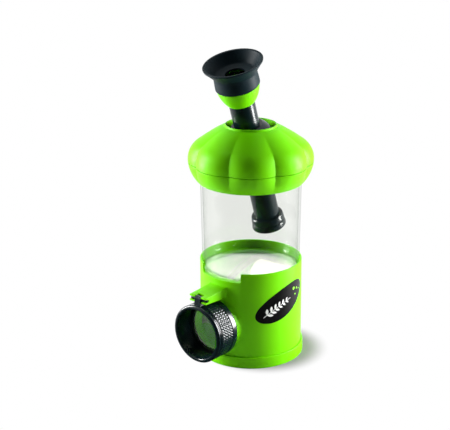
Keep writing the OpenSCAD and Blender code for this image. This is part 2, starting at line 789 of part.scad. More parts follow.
module eyepiece_lens() color(clear) in_viewer()
    translate([0, 0, eye_seat]) lens(eye_lens_r, eye_lens_edge, eye_sag);

module eyepiece_lens_ring() color(black) in_viewer()
    translate([0, 0, eye_seat + eye_lens_edge]) ring(eye_lens_r, eye_lens_r - lens_stop, eye_ring_t);

module eyecup() color(rubber) in_viewer() {
    // The straight flare touches the waist's curve and ends at the rim
    rim_z = cup_to - cup_lip;
    run = [cup_rim_r - cup_waist_r - cup_waist_round, rim_z - cup_waist];
    touch = atan2(run[1], run[0]) + acos(cup_waist_round / norm(run));
    rotate_extrude() polygon(concat(
        [[barrel_r + seat_gap, cup_from]],
        arc(cup_r0 - cup_edge, cup_from + cup_edge, cup_edge, -90, 0, 4),
        arc(cup_waist_r + cup_waist_round, cup_waist, cup_waist_round, 180, touch, 5),
        [[cup_rim_r, rim_z]],
        arc(cup_rim_r - cup_lip / 2, cup_to - cup_lip / 2, cup_lip / 2, 0, 90, 3),
        [[cup_mouth_r + cup_lip, cup_to], [cup_mouth_r, cup_to - cup_lip],
            [cup_floor_r + edge, cup_floor + edge], [cup_floor_r, cup_floor], [cup_hole_r + edge, cup_floor],
            [cup_hole_r, cup_floor - edge], [cup_hole_r, cup_floor - cup_floor_t],
            [barrel_r + seat_gap, cup_floor - cup_floor_t]]));
}

module objective_collar() color(black) in_viewer() {
    rotate_extrude() polygon(concat(
        [[tube_r + seat_gap / 2, collar_from], [collar_r1 - cell_cut, collar_from],
            [collar_r1, collar_from + cell_cut]],
        arc(collar_r0 - collar_round, collar_to - collar_round, collar_round, 0, 90, 6),
        [[tube_r + seat_gap / 2, collar_to]]));
}

module objective_cell() color(black) in_viewer() {
    low = -reach_down;
    rotate_extrude() polygon([
        [cell_mouth_r, low], [cell_r - edge / 2, low], [cell_r, low + edge / 2],
        [collar_r1, cell_top - cell_cut], [collar_r1 - cell_cut, cell_top],
        [cell_barrel_r, cell_top], [cell_barrel_r, cell_top + cell_barrel - edge],
        [cell_barrel_r - edge, cell_top + cell_barrel], [cell_bore, cell_top + cell_barrel],
        [cell_bore, cell_seat], [cell_bore - lens_stop, cell_seat], [cell_bore - lens_stop, cell_top]]);
}

module objective_lens() color(clear) in_viewer()
    translate([0, 0, cell_seat]) lens(obj_lens_r, obj_lens_edge, obj_sag);

module objective_lens_ring() color(black) in_viewer()
    translate([0, 0, cell_seat + obj_lens_edge]) ring(obj_lens_r, obj_lens_r - lens_stop, obj_ring_t);

module magnifier_housing() color(black) {
    grooves = [for (i = [0:groove_count - 1]) let (a = mag_lip + groove_pitch * i + groove_w / 2) each
        [[mag_r, a], [mag_r - groove_d, a + groove_w / 4], [mag_r - groove_d, a + groove_w * 3 / 4],
            [mag_r, a + groove_w]]];
    difference() {
        union() {
            in_magnifier() rotate_extrude() polygon(concat(
                [[hood_r, mag_lip / 2], [hood_r + mag_lip / 4, 0], [mag_r - mag_lip * 3 / 4, 0],
                    [mag_r - mag_lip / 4, mag_lip / 3], [mag_r, mag_lip]],
                grooves,
                [[mag_r, knurl_from - knurl_d], [mag_r - knurl_d, knurl_from],
                    [mag_r - knurl_d, knurl_from + knurl_w], [mag_r, knurl_from + knurl_w + knurl_d],
                    [mag_r, mag_len - edge], [mag_r - edge, mag_len], [mag_view_r, mag_len],
                    [mag_view_r, lens_seat], [mag_seat_r, lens_seat],
                    [mag_seat_r, lens_seat - mag_lens_edge - mag_ring_t - mag_hold],
                    [hood_r - edge, lens_seat - mag_lens_edge - mag_ring_t - mag_hold]]));
            translate([-tab_w / 2, pin_y - knuckle_r, port_z + hood_r + mag_lip / 2])
                cube([tab_w, knuckle_r + tab_back, pin_z - port_z - hood_r - mag_lip / 2]);
            translate([-tab_w / 2, pin_y, pin_z]) rotate([0, 90, 0]) cylinder(r = knuckle_r, h = tab_w);
        }
        translate([-tab_w, pin_y, pin_z]) rotate([0, 90, 0]) cylinder(r = pin_r + run_gap, h = 2 * tab_w);
    }
}

module magnifier_lens() color(clear) in_magnifier()
    translate([0, 0, lens_seat - mag_lens_edge]) lens(mag_lens_r, mag_lens_edge, mag_sag);

module magnifier_lens_ring() color(black) in_magnifier()
    translate([0, 0, lens_seat - mag_lens_edge - mag_ring_t]) ring(mag_lens_r, mag_view_r, mag_ring_t);

module hinge_pin() color(black)
    translate([-pin_len / 2, pin_y, pin_z]) rotate([0, 90, 0]) cylinder(r = pin_r, h = pin_len);

base_housing();
bottom_cover();
cover_screws();
mirror_carrier();
mirror();
label_plate();
clear_jar();
cap_upper_shell();
cap_lower_shell();
cap_screws();
ball_retainer();
retainer_screws();
seat_ring();
swivel_ball();
scope_tube();
eyepiece_housing();
eyepiece_lens();
eyepiece_lens_ring();
eyecup();
objective_collar();
objective_cell();
objective_lens();
objective_lens_ring();
magnifier_housing();
magnifier_lens();
magnifier_lens_ring();
hinge_pin();
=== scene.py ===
import bmesh
import bpy
import json
import math
from mathutils import Matrix, Vector


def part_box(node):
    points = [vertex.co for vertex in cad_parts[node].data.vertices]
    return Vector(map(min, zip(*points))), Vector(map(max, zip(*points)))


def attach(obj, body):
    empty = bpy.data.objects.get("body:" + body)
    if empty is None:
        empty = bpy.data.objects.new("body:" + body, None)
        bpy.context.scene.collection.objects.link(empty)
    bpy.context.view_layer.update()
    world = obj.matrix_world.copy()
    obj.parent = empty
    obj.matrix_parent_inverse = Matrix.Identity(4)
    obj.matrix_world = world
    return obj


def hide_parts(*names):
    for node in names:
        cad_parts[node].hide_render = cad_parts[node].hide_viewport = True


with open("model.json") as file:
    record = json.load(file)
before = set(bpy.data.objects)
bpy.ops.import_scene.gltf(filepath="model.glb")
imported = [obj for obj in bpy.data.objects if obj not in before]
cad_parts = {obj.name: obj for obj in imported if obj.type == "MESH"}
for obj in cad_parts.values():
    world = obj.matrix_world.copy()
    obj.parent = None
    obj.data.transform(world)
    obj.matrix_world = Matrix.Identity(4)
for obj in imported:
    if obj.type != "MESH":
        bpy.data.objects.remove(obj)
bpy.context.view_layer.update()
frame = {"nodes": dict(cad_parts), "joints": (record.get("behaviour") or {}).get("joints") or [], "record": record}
nodes = frame["nodes"]
joints = {joint["name"]: joint for joint in frame["joints"]}
mm = 0.001
print("frame loaded:", len(nodes), "nodes")

# what the frame says about places and directions
ballCentre = Vector(joints["viewer_tilt"]["pos_m"])
viewerUp = Vector(joints["focus_slide"]["axis"]).normalized()
viewerLean = math.atan2(-viewerUp.y, viewerUp.z)
pinCentre = Vector(joints["magnifier_flip"]["pos_m"])


# camera

camera = {
    "turn": 39.81,  # degrees from the front towards the right
    "height": 18.909,  # degrees above the floor
    "distance": 1102.09,
    "target": 126.4,  # height of the point that it looks at
    "focal": 1257.36,  # in pixels of the photo's frame
    "frameWidth": 450,
    "axisAt": 250.9,  # pixel column of the jar's axis
    "sensor": 36,
    "near": 10,
}


def aimCamera():
    # returns the level directions towards the camera and to its right
    turn, height = math.radians(camera["turn"]), math.radians(camera["height"])
    back = Vector((math.sin(turn) * math.cos(height), -math.cos(turn) * math.cos(height), math.sin(height)))
    place = Vector((0, 0, camera["target"] * mm)) + back * (camera["distance"] * mm)
    bpy.ops.object.camera_add(location=place, rotation=back.to_track_quat("Z", "Y").to_euler())
    eye = bpy.context.active_object
    eye.name = "photoCamera"
    eye.data.sensor_width = camera["sensor"]
    eye.data.lens = camera["focal"] * camera["sensor"] / camera["frameWidth"]
    eye.data.shift_x = (camera["frameWidth"] / 2 - camera["axisAt"]) / camera["frameWidth"]
    eye.data.clip_start = camera["near"] * mm
    bpy.context.scene.camera = eye
    return Vector((back.x, back.y, 0)).normalized(), Vector((math.cos(turn), math.sin(turn), 0))


flatBack, aside = aimCamera()
print("camera placed")


# material helpers

def feed(tree, socket, value):
    # a value is a constant, a colour or another node's output
    if isinstance(value, bpy.types.NodeSocket):
        tree.links.new(value, socket)
    else:
        socket.default_value = (*value, 1) if socket.type == "RGBA" else value


def addNode(tree, kind, inputs=(), **settings):
    node = tree.nodes.new(kind)
    for key, value in settings.items():
        setattr(node, key, value)
    for socket, value in dict(inputs).items():
        feed(tree, node.inputs[socket], value)
    return node


def newMaterial(name, color, roughness, sockets=()):
    material = bpy.data.materials.new(name)
    material.use_nodes = True
    shader = material.node_tree.nodes["Principled BSDF"]
    for socket, value in {"Base Color": color, "Roughness": roughness, **dict(sockets)}.items():
        feed(material.node_tree, shader.inputs[socket], value)
    return material, material.node_tree, shader


def noise(tree, scale, detail, rough=0.5):
    place = addNode(tree, "ShaderNodeTexCoord").outputs["Object"]
    settings = {"Vector": place, "Scale": scale, "Detail": detail, "Roughness": rough}
    return addNode(tree, "ShaderNodeTexNoise", settings).outputs["Fac"]


def remap(tree, value, low, high, start=0.3, end=0.7, curve="LINEAR"):
    limits = {"Value": value, "From Min": start, "From Max": end, "To Min": low, "To Max": high}
    return addNode(tree, "ShaderNodeMapRange", limits, interpolation_type=curve).outputs["Result"]


def blendColors(tree, factor, first, second):
    inputs = {"Factor": factor, 6: first, 7: second}
    return addNode(tree, "ShaderNodeMix", inputs, data_type="RGBA").outputs[2]


def blendShaders(tree, factor, first, second):
    # shows the first shader where the factor is 0 and the second where it is 1
    mixed = addNode(tree, "ShaderNodeMixShader", {0: factor, 1: first, 2: second})
    feed(tree, tree.nodes["Material Output"].inputs["Surface"], mixed.outputs["Shader"])


def addMath(tree, operation, *values):
    return addNode(tree, "ShaderNodeMath", enumerate(values), operation=operation).outputs["Value"]


def vectorMath(tree, operation, *values):
    node = addNode(tree, "ShaderNodeVectorMath", enumerate(values), operation=operation)
    return node.outputs["Vector" if operation == "SUBTRACT" else "Value"]


# finishes: a grain is a noise's scale, detail and roughness, and a bump is its strength and depth in mm

finishes = {
    "lime_plastic": {
        "name": "limePlastic", "color": (0.165, 0.65, 0.0), "roughness": 0.4,
        "sockets": {"IOR": 1.2, "Specular IOR Level": 0.5},
        "second": (0.15, 0.61, 0.0), "tintGrain": (14, 2),
        "gloss": (0.36, 0.45), "glossGrain": (160, 4, 0.6),
        "bump": (0.05, 0.02), "bumpGrain": (2600, 3, 0.55)},
    "black_plastic": {
        "name": "blackPlastic", "color": (0.002, 0.009, 0.011), "roughness": 0.2,
        "sockets": {"IOR": 1.5, "Specular IOR Level": 0.38},
        "gloss": (0.16, 0.27), "glossGrain": (240, 4, 0.6),
        "bump": (0.05, 0.015), "bumpGrain": (3000, 2)},
    "black_rubber": {
        "name": "softRubber", "color": (0.0025, 0.0115, 0.0175), "roughness": 0.5,
        "sockets": {"IOR": 1.5, "Specular IOR Level": 0.1},
        "second": (0.005, 0.016, 0.021), "tintGrain": (60, 5, 0.6),
        "bump": (0.18, 0.03), "bumpGrain": (4200, 3, 0.7)},
    "mirror_face": {
        "name": "mirrorFace", "color": (0.9, 0.92, 0.84), "roughness": 0.02, "sockets": {"Metallic": 1},
        "gloss": (0.01, 0.05), "glossGrain": (400, 4, 0.6)},
    "pale_plastic": {
        "name": "palePlastic", "color": (0.42, 0.44, 0.38), "roughness": 0.5,
        "gloss": (0.42, 0.58), "glossGrain": (300, 4)},
    "screw_steel": {
        "name": "screwSteel", "color": (0.55, 0.56, 0.57), "roughness": 0.32, "sockets": {"Metallic": 1},
        "gloss": (0.24, 0.42), "glossGrain": (900, 4)},
    "felt": {
        "name": "feltRing", "color": (0.02, 0.022, 0.022), "roughness": 0.95,
        "bump": (0.8, 0.2), "bumpGrain": (2500, 6, 0.8)},
    "label_gloss": {
        "name": "labelGloss", "color": (0.005, 0.005, 0.005), "roughness": 0.2,
        "sockets": {"Specular IOR Level": 0.3},
        "gloss": (0.12, 0.2), "glossGrain": (120, 3)},
}
lensLook = {"color": (0.97, 0.99, 0.98), "roughness": 0.0, "sockets": {"IOR": 1.49, "Transmission Weight": 1}}
jarWallLook = {"tint": (0.966, 0.972, 0.96), "edgeTint": (0.7, 0.72, 0.7), "roughness": 0.03, "shine": 0.03,
               "edgeShine": 0.25, "edgePower": 5}
jarFloorLook = {"tint": (1, 0.985, 0.95), "edgeTint": (0.9, 0.88, 0.84), "roughness": 0.02, "shine": 0.03,
                "edgeShine": 0.5, "edgePower": 5}
printColors = {"printWhite": (0.82, 0.83, 0.82), "printLime": (0.2, 0.66, 0.01)}
printRoughness = 0.35


def makeFinish(look):
    name, color, roughness = look["name"], look["color"], look["roughness"]
    material, tree, shader = newMaterial(name, color, roughness, look.get("sockets", ()))
    if "second" in look:
        share = remap(tree, noise(tree, *look["tintGrain"]), 0, 1)
        feed(tree, shader.inputs["Base Color"], blendColors(tree, share, color, look["second"]))
    if "gloss" in look:
        feed(tree, shader.inputs["Roughness"], remap(tree, noise(tree, *look["glossGrain"]), *look["gloss"]))
    if "bump" in look:
        strength, depth = look["bump"]
        inputs = {"Strength": strength, "Distance": depth * mm, "Height": noise(tree, *look["bumpGrain"])}
        feed(tree, shader.inputs["Normal"], addNode(tree, "ShaderNodeBump", inputs).outputs["Normal"])
    return material


def lensPlastic():
    material, tree, shader = newMaterial("lensPlastic", *lensLook.values())
    # lamps reach what is behind the lens
    rays = addNode(tree, "ShaderNodeLightPath")
    passing = addNode(tree, "ShaderNodeBsdfTransparent", {"Color": lensLook["color"]})
    blendShaders(tree, rays.outputs["Is Shadow Ray"], shader.outputs["BSDF"], passing.outputs["BSDF"])
    return material


def jarPlastic(name, look):
    # a thin clear wall: it doesn't bend what is behind it, greys it a little and more so at its edges
    material, tree, shader = newMaterial(name, look["tint"], look["roughness"])
    tree.nodes.remove(shader)
    facing = addNode(tree, "ShaderNodeLayerWeight", {"Blend": 0.5}).outputs["Facing"]
    steep = addMath(tree, "POWER", facing, look["edgePower"])
    tint = blendColors(tree, steep, look["tint"], look["edgeTint"])
    passing = addNode(tree, "ShaderNodeBsdfTransparent", {"Color": tint})
    gloss = addNode(tree, "ShaderNodeBsdfGlossy", {"Roughness": look["roughness"], "Color": (1, 1, 1)})
    share = addMath(tree, "MULTIPLY_ADD", steep, look["edgeShine"], look["shine"])
    blendShaders(tree, share, passing.outputs["BSDF"], gloss.outputs["BSDF"])
    return material


looks = {slot: makeFinish(look) for slot, look in finishes.items()}
looks["clear_plastic"] = jarPlastic("jarWall", jarWallLook)
looks["lens_plastic"] = lensPlastic()
printLooks = {name: newMaterial(name, color, printRoughness)[0] for name, color in printColors.items()}
slotOf = {row["node"]: row["material_slot"] for row in frame["record"]["subparts"]}
for name, piece in nodes.items():
    piece.data.materials.clear()
    piece.data.materials.append(looks[slotOf[name]])
print("materials made:", len(looks))


# modelling helpers: lengths are given in mm, and the meshes are in metres

def clearSelection():
    if bpy.context.mode != "OBJECT":
        bpy.ops.object.mode_set(mode="OBJECT")
    bpy.ops.object.select_all(action="DESELECT")


def makeActive(piece):
    clearSelection()
    piece.select_set(True)
    bpy.context.view_layer.objects.active = piece


def bakePlace(piece, matrix=None):
    # moves an object's place into its mesh
    makeActive(piece)
    if matrix is not None:
        piece.matrix_world = matrix
    bpy.ops.object.transform_apply(location=True, rotation=True, scale=True)


def namePiece(name, scale=(1, 1, 1)):
    # names and scales the primitive that was just added
    piece = bpy.context.active_object
    piece.name = name
    piece.scale = scale
    bakePlace(piece)
    return piece


def startEdit(piece, choice="SELECT"):
    makeActive(piece)
    bpy.ops.object.mode_set(mode="EDIT")
    bpy.ops.mesh.select_mode(type="VERT")
    bpy.ops.mesh.select_all(action=choice)


def endEdit():
    bpy.ops.object.mode_set(mode="OBJECT")


def pick(piece, kind, test):
    # selects only the vertices, edges or faces that pass the test
    bpy.ops.mesh.select_mode(type={"verts": "VERT", "edges": "EDGE", "faces": "FACE"}[kind])
    bpy.ops.mesh.select_all(action="DESELECT")
    mesh = bmesh.from_edit_mesh(piece.data)
    for item in [item for item in getattr(mesh, kind) if test(item)]:
        item.select_set(True)
    bmesh.update_edit_mesh(piece.data)


def pickedPoints(piece):
    return [vertex.index for vertex in bmesh.from_edit_mesh(piece.data).verts if vertex.select]


def extrudeBy(x, y, z):
    bpy.ops.mesh.extrude_region_move(TRANSFORM_OT_translate={"value": (x * mm, y * mm, z * mm)})


def resizeAbout(centre, x, y, z=1):
    bpy.ops.transform.resize(value=(x, y, z), center_override=[part * mm for part in centre])


def arc(radius, height, size, start, end, steps):
    angles = [math.radians(start + (end - start) * i / steps) for i in range(steps + 1)]
    return [(radius + size * math.cos(a), height + size * math.sin(a)) for a in angles]


def eased(radius, height, steps):
    # points of an outline, each a step outwards and upwards from one corner
    return [(radius + out, height + up) for out, up in steps]


def onCircle(distance, turn):
    return distance * Vector((math.cos(math.radians(turn)), math.sin(math.radians(turn))))


def roundCorners(corners, steps=4):
    # corners of a closed outline as (radius, height, rounding); gives plain (radius, height) points
    points = []
    for i, (r, z, size) in enumerate(corners):
        here = Vector((r, z))
        if size <= 0:
            points.append((r, z))
            continue
        before = Vector(corners[i - 1][:2]) - here
        after = Vector(corners[(i + 1) % len(corners)][:2]) - here
        half = before.angle(after) / 2
        reach = min(size / math.tan(half), 0.49 * before.length, 0.49 * after.length)
        size = reach * math.tan(half)
        centre = here + (before.normalized() + after.normalized()).normalized() * size / math.sin(half)
        start = here + before.normalized() * reach - centre
        end = here + after.normalized() * reach - centre
        turn = -start.angle_signed(end)
        for step in range(steps + 1):
            spot = centre + Matrix.Rotation(turn * step / steps, 2) @ start
            points.append((spot.x, spot.y))
    return points


def closeTip(rise):
    # draws the picked ring to a point on the axis
    extrudeBy(0, 0, rise)
    bpy.ops.mesh.merge(type="CENTER")


def turnedPiece(name, outline, sides=128, closed=True):
    # a lathe shape: every (radius, height) of the outline is one ring
    rings = [ring for ring in outline if ring[0] > 0]
    first = radius, height = rings[0]
    near = 0.01 * mm
    clearSelection()
    bpy.ops.mesh.primitive_circle_add(vertices=sides, radius=radius * mm, location=(0, 0, height * mm))
    piece = namePiece(name)
    startEdit(piece)
    for ring in rings[1:] + ([first] if closed and len(rings) == len(outline) else []):
        extrudeBy(0, 0, ring[1] - height)
        resizeAbout((0, 0, ring[1]), ring[0] / radius, ring[0] / radius)
        radius, height = ring
    if outline[-1][0] == 0:
        closeTip(outline[-1][1] - height)
    if outline[0][0] == 0:
        pick(piece, "edges", lambda edge: edge.is_boundary and all(
            abs(v.co.z - first[1] * mm) < near and abs(v.co.xy.length - first[0] * mm) < near
            for v in edge.verts))
        closeTip(outline[0][1] - first[1])
    return tidyMesh(piece)


def tidyMesh(piece):
    startEdit(piece)
    bpy.ops.mesh.remove_doubles(threshold=0.002 * mm)
    bpy.ops.mesh.normals_make_consistent(inside=False)
    endEdit()
    return piece


def boxPiece(name, low, high):
    clearSelection()
    low, high = Vector(low) * mm, Vector(high) * mm
    bpy.ops.mesh.primitive_cube_add(size=1, location=(low + high) / 2)
    return namePiece(name, high - low)


def rodPiece(name, radius, start, end, sides=96):
    # a straight rod from one point to another
    clearSelection()
    start, end = Vector(start) * mm, Vector(end) * mm
    bpy.ops.mesh.primitive_cylinder_add(vertices=sides, radius=radius * mm, depth=(end - start).length,
                                        location=(start + end) / 2,
                                        rotation=(end - start).to_track_quat("Z", "Y").to_euler())
    return namePiece(name)


def applyModifier(piece, kind, **settings):
    makeActive(piece)
    modifier = piece.modifiers.new("shaping", kind)
    for key, value in settings.items():
        setattr(modifier, key, value)
    bpy.ops.object.modifier_apply(modifier=modifier.name)


def cutBy(piece, tool, operation="DIFFERENCE"):
    applyModifier(piece, "BOOLEAN", operation=operation, solver="EXACT", object=tool)
    bpy.data.objects.remove(tool)


def roundEdges(piece, width, angle):
    applyModifier(piece, "BEVEL", width=width * mm, segments=3, limit_method="ANGLE",
                  angle_limit=math.radians(angle))


def finishPiece(piece, body, slot, standsFor=(), smooth=30, look=None):
    makeActive(piece)
    bpy.ops.object.shade_smooth_by_angle(angle=math.radians(smooth))
    piece.data.materials.clear()
    piece.data.materials.append(look or looks[slot])
    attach(piece, body)
    if standsFor:
        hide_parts(*standsFor)
    return piece


def addTurned(name, node, outline, sides, place, body, slot, smooth=30):
    piece = turnedPiece(name, outline, sides)
    bakePlace(piece, place)
    finishPiece(piece, body, slot, [node], smooth)


# sizes that the frame gives

def nodeBox(node):
    low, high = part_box(node)
    return Vector(low) / mm, Vector(high) / mm


def alongViewer(node):
    # lowest and highest point of a node on the viewer's axis, from the ball's centre
    spots = [(vertex.co - ballCentre).dot(viewerUp) / mm for vertex in nodes[node].data.vertices]
    return min(spots), max(spots)


baseRadius, baseTop = nodeBox("base_housing")[1].yz
coverTop = nodeBox("base_housing")[0].z
footRadius, footTop = nodeBox("bottom_cover")[1].yz
jarFoot = nodeBox("clear_jar")[0].z
jarRadius, jarTop = nodeBox("clear_jar")[1].xz
skirtFoot, seamHeight = nodeBox("cap_lower_shell")[0].z, nodeBox("cap_lower_shell")[1].z
bellyRadius = max(vertex.co.xy.length for vertex in nodes["cap_upper_shell"].data.vertices) / mm
lipTop = nodeBox("cap_upper_shell")[1].z
ballRadius = nodeBox("swivel_ball")[1].x
tubeRadius = nodeBox("scope_tube")[1].x
magnifierRadius = nodeBox("magnifier_housing")[1].x
magnifierFront, magnifierBack = nodeBox("magnifier_housing")[0].y, nodeBox("magnifier_housing")[1].y
portHeight = (nodeBox("magnifier_lens")[0].z + nodeBox("magnifier_lens")[1].z) / 2
ballHeight = ballCentre.z / mm
pinAt = pinCentre / mm

# where pieces go that are modelled upright at the origin
viewerPlace = Matrix.Translation(ballCentre) @ Matrix.Rotation(viewerLean, 4, "X")
magnifierPlace = (Matrix.Translation((0, magnifierFront * mm, portHeight * mm))
                  @ Matrix.Rotation(-math.pi / 2, 4, "X"))
pinPlace = Matrix.Translation(pinCentre) @ Matrix.Rotation(math.pi / 2, 4, "Y")
portPlace = Matrix.Translation((0, 0, portHeight * mm)) @ Matrix.Rotation(math.pi / 2, 4, "X")


# cap: two lobed shells with a seam between them

cap = {
    "lobes": 8,
    "perLobe": 24,
    "turn": -49,  # degrees, where the middle of the front lobe is
    "crease": 3.5,
    "coneBulge": 1.2,
    "bellyUp": 19.4,
    "skirtRound": 26.9,
    "domeRound": 19,
    "taper": 30.2,
    "wall": 2.2,
    "mouth": 21.1,
    "lip": 1.5,
    "lipOut": 0.6,  # how far the cone ends outside the lip
    "lipGroove": ((0, -0.5), (-0.3, -0.52)),
    "lipDown": 0.1,
    "seamRound": 0.4,
    "seamGap": 0.17,
    "seamEase": ((-0.42, 0), (-0.2, 0.06), (-0.06, 0.2)),
    "footInside": ((0, 0.5), (0.15, 0.12), (0.45, 0)),
    "footOutside": ((-0.35, 0), (-0.08, 0.12), (0.1, 0.4)),
    "domeRings": 12,
    "coneRings": 9,
    "skirtRings": 12,
    "ballGap": 0.3,
    "socketDown": 4.4,
    "coneInside": ((2.6, 1.2), 1.6),  # inwards and down from the outside, and how far from its top
    "domeTurns": (50, 30, 12, 0),
    "domeFlat": 0.8,
    "jarGap": 0.34,
    "collarWall": 1.8,
    "collarStep": 0.8,
    "collarDown": 8,
    "flangeHole": 33,
    "flangeRise": 2.5,
    "flangeEdge": 0.3,
}
taper = math.radians(cap["taper"])
bellyHeight = skirtFoot + cap["bellyUp"]
taperHeight = bellyHeight + cap["domeRound"] * math.cos(taper)
taperRadius = bellyRadius - cap["domeRound"] * (1 - math.sin(taper))
lipRadius = cap["mouth"] + cap["lip"]
coneEnd = lipRadius + cap["lipOut"]
coneTop = taperHeight + (taperRadius - coneEnd) * math.tan(taper)


def peakRadius(z):
    if z < bellyHeight:
        return bellyRadius - cap["skirtRound"] + math.sqrt(cap["skirtRound"] ** 2 - (bellyHeight - z) ** 2)
    if z < taperHeight:
        return bellyRadius - cap["domeRound"] + math.sqrt(cap["domeRound"] ** 2 - (z - bellyHeight) ** 2)
    bulge = cap["coneBulge"] * math.sin(math.pi * min(1, (z - taperHeight) / (coneTop - taperHeight)))
    return taperRadius - (z - taperHeight) / math.tan(taper) + bulge


def creaseDepth(z):
    span = cap["bellyUp"] if z < bellyHeight else coneTop - bellyHeight
    return cap["crease"] * math.cos(math.radians(90 * min(1, abs(z - bellyHeight) / span)))


def lobeShare(z, turn):
    # how far out a lobe reaches at a turn from its middle, as a share of its peak
    peak = peakRadius(z)
    crease = peak - creaseDepth(z)
    centre = (peak ** 2 - crease ** 2) / (2 * (peak - crease * math.cos(math.pi / cap["lobes"])))
    return (centre * math.cos(turn) + math.sqrt((peak - centre) ** 2 - (centre * math.sin(turn)) ** 2)) / peak


def shapeLobes(piece, rings):
    # draws the rings in between the lobes' middles, one pair of rows of points at a time
    perLobe, sides = cap["perLobe"], cap["perLobe"] * cap["lobes"]
    startEdit(piece, "DESELECT")
    mesh = bmesh.from_edit_mesh(piece.data)
    groups = {}
    for vertex in mesh.verts:
        flat = vertex.co.xy.length / mm
        for ring in rings:
            if abs(vertex.co.z / mm - ring[1]) < 0.001 and abs(flat - ring[0]) < 0.001:
                place = round(math.atan2(vertex.co.y, vertex.co.x) / (2 * math.pi) * sides) % perLobe
                groups.setdefault((ring, abs(place - perLobe // 2)), []).append(vertex.index)
    for (ring, away), indices in groups.items():
        share = lobeShare(ring[1], away / perLobe * 2 * math.pi / cap["lobes"])
        mesh = bmesh.from_edit_mesh(piece.data)
        mesh.verts.ensure_lookup_table()
        for index in indices:
            mesh.verts[index].select_set(True)
        bmesh.update_edit_mesh(piece.data)
        resizeAbout((0, 0, ring[1]), share, share)
        bpy.ops.mesh.select_all(action="DESELECT")
    endEdit()
    bakePlace(piece, Matrix.Rotation(math.radians(cap["turn"] - 180 / cap["lobes"]), 4, "Z"))


def roundedRings(points):
    return [(round(r, 5), round(z, 5)) for r, z in points]


def addShell(name, node, outline, lobed):
    piece = turnedPiece(name, outline, cap["perLobe"] * cap["lobes"])
    shapeLobes(piece, roundedRings(lobed))
    finishPiece(piece, "cap", "lime_plastic", [node], smooth=16)


def addCapTop():
    low = seamHeight + cap["seamGap"]
    heights = [low + cap["seamRound"]]
    heights += [bellyHeight + cap["domeRound"] * math.sin((math.pi / 2 - taper) * i / cap["domeRings"])
                for i in range(cap["domeRings"])]
    heights += [taperHeight + (coneTop - taperHeight) * i / cap["coneRings"] for i in range(cap["coneRings"])]
    outer = roundedRings([(peakRadius(z), z) for z in heights])
    edge = peakRadius(low)
    rounding = eased(edge, low, cap["seamEase"])
    half = cap["lip"] / 2
    lip = eased(coneEnd, coneTop, cap["lipGroove"]) + [(lipRadius, coneTop - cap["lipDown"])]
    lip += arc(lipRadius - half, lipTop - half, half, 0, 180, 10)
    socket = ballRadius + cap["ballGap"]
    lip += arc(0, ballHeight, socket, math.degrees(math.acos(cap["mouth"] / socket)), 0, 6)
    outside = socket + cap["wall"]
    (inwards, down), short = cap["coneInside"]
    inner = [(outside, ballHeight), (outside, coneTop - cap["socketDown"])]
    inner += [(taperRadius - inwards - (z - taperHeight) / math.tan(taper), z - down)
              for z in (coneTop - short, taperHeight)]
    for turn in cap["domeTurns"]:
        angle = math.radians(turn)
        z = bellyHeight + cap["domeRound"] * math.sin(angle) * cap["domeFlat"]
        wall = cap["wall"] + creaseDepth(z)
        inner.append((bellyRadius - cap["domeRound"] + (cap["domeRound"] - wall) * math.cos(angle), z))
    inner.append((edge - cap["crease"] - cap["wall"], low))
    addShell("capTop", "cap_upper_shell", rounding + outer + lip + inner, rounding + outer)


def addCapSkirt():
    high = seamHeight - cap["seamGap"]
    span = high - cap["seamRound"] - skirtFoot
    heights = [skirtFoot + span * (i + 1) / cap["skirtRings"] for i in range(cap["skirtRings"])]
    outer = roundedRings([(peakRadius(z), z) for z in heights])
    edge = peakRadius(high)
    rounding = eased(edge, high, [(out, -up) for out, up in reversed(cap["seamEase"])])
    hole = jarRadius + cap["jarGap"]
    bottom = eased(hole, skirtFoot, cap["footInside"])
    bottom += eased(peakRadius(skirtFoot), skirtFoot, cap["footOutside"])
    collar, step = hole + cap["collarWall"], high - cap["collarDown"]
    flange, flangeTop, size = cap["flangeHole"], jarTop + cap["flangeRise"], cap["flangeEdge"]
    inner = [(edge - cap["crease"] - cap["wall"], high), (collar + cap["collarStep"], step), (collar, step),
             (collar, flangeTop), (flange + size, flangeTop), (flange, flangeTop - size),
             (flange, jarTop + size), (flange + size, jarTop), (hole, jarTop)]
    addShell("capSkirt", "cap_lower_shell", bottom + outer + rounding + inner, outer + rounding)


addCapTop()
addCapSkirt()
print("cap modelled")


# viewer: bowl, rubber cup, collar and turning ring, all modelled upright and then leaned

tubeGap = 0.05
tubeWall = 1.25
barrelRound = 0.6
lensStop = 1.2
bowl = {
    "foot": 0.75,
    "footEase": ((tubeGap, 0.2), (0.3, 0)),
    "sideRound": 30.3,
    "steps": 14,
    "brimEase": ((-0.02, -0.25), (-0.25, 0)),
    "barrelStep": 1.2,
    "hollow": 13.1,
    "seatShare": 1 / 3,
    "tubeHold": 0.1,
}
rubberCup = {
    "step": 0.7,
    "wall": 1.5,
    "grip": 0.1,
    "footRound": 1.5,
    "side": (-0.12, 5),
    "waistUp": 10.9,
    "waistRound": 4,
    "waistEase": (0.03, -2),
    "rimEase": ((-0.75, -0.9), (-0.3, -0.55)),
    "rimWidth": 2.55,
    "lip": 1.0,
    "mouthEase": ((1.3, -0.06), (0.45, -0.35), (0, -1.0)),
    "funnelShort": 0.6,
    "funnelRings": (0.33, 0.66),
    "floorUp": 12.6,
    "floorThick": 1.8,
    "floorIn": 2.9,
    "floorEase": ((1.3, 1.1), (0.5, 0.3), (-0.4, 0)),
    "hole": 8.4,
    "holeEase": ((0.7, 0), (0.2, -0.2), (0, -0.7)),
}
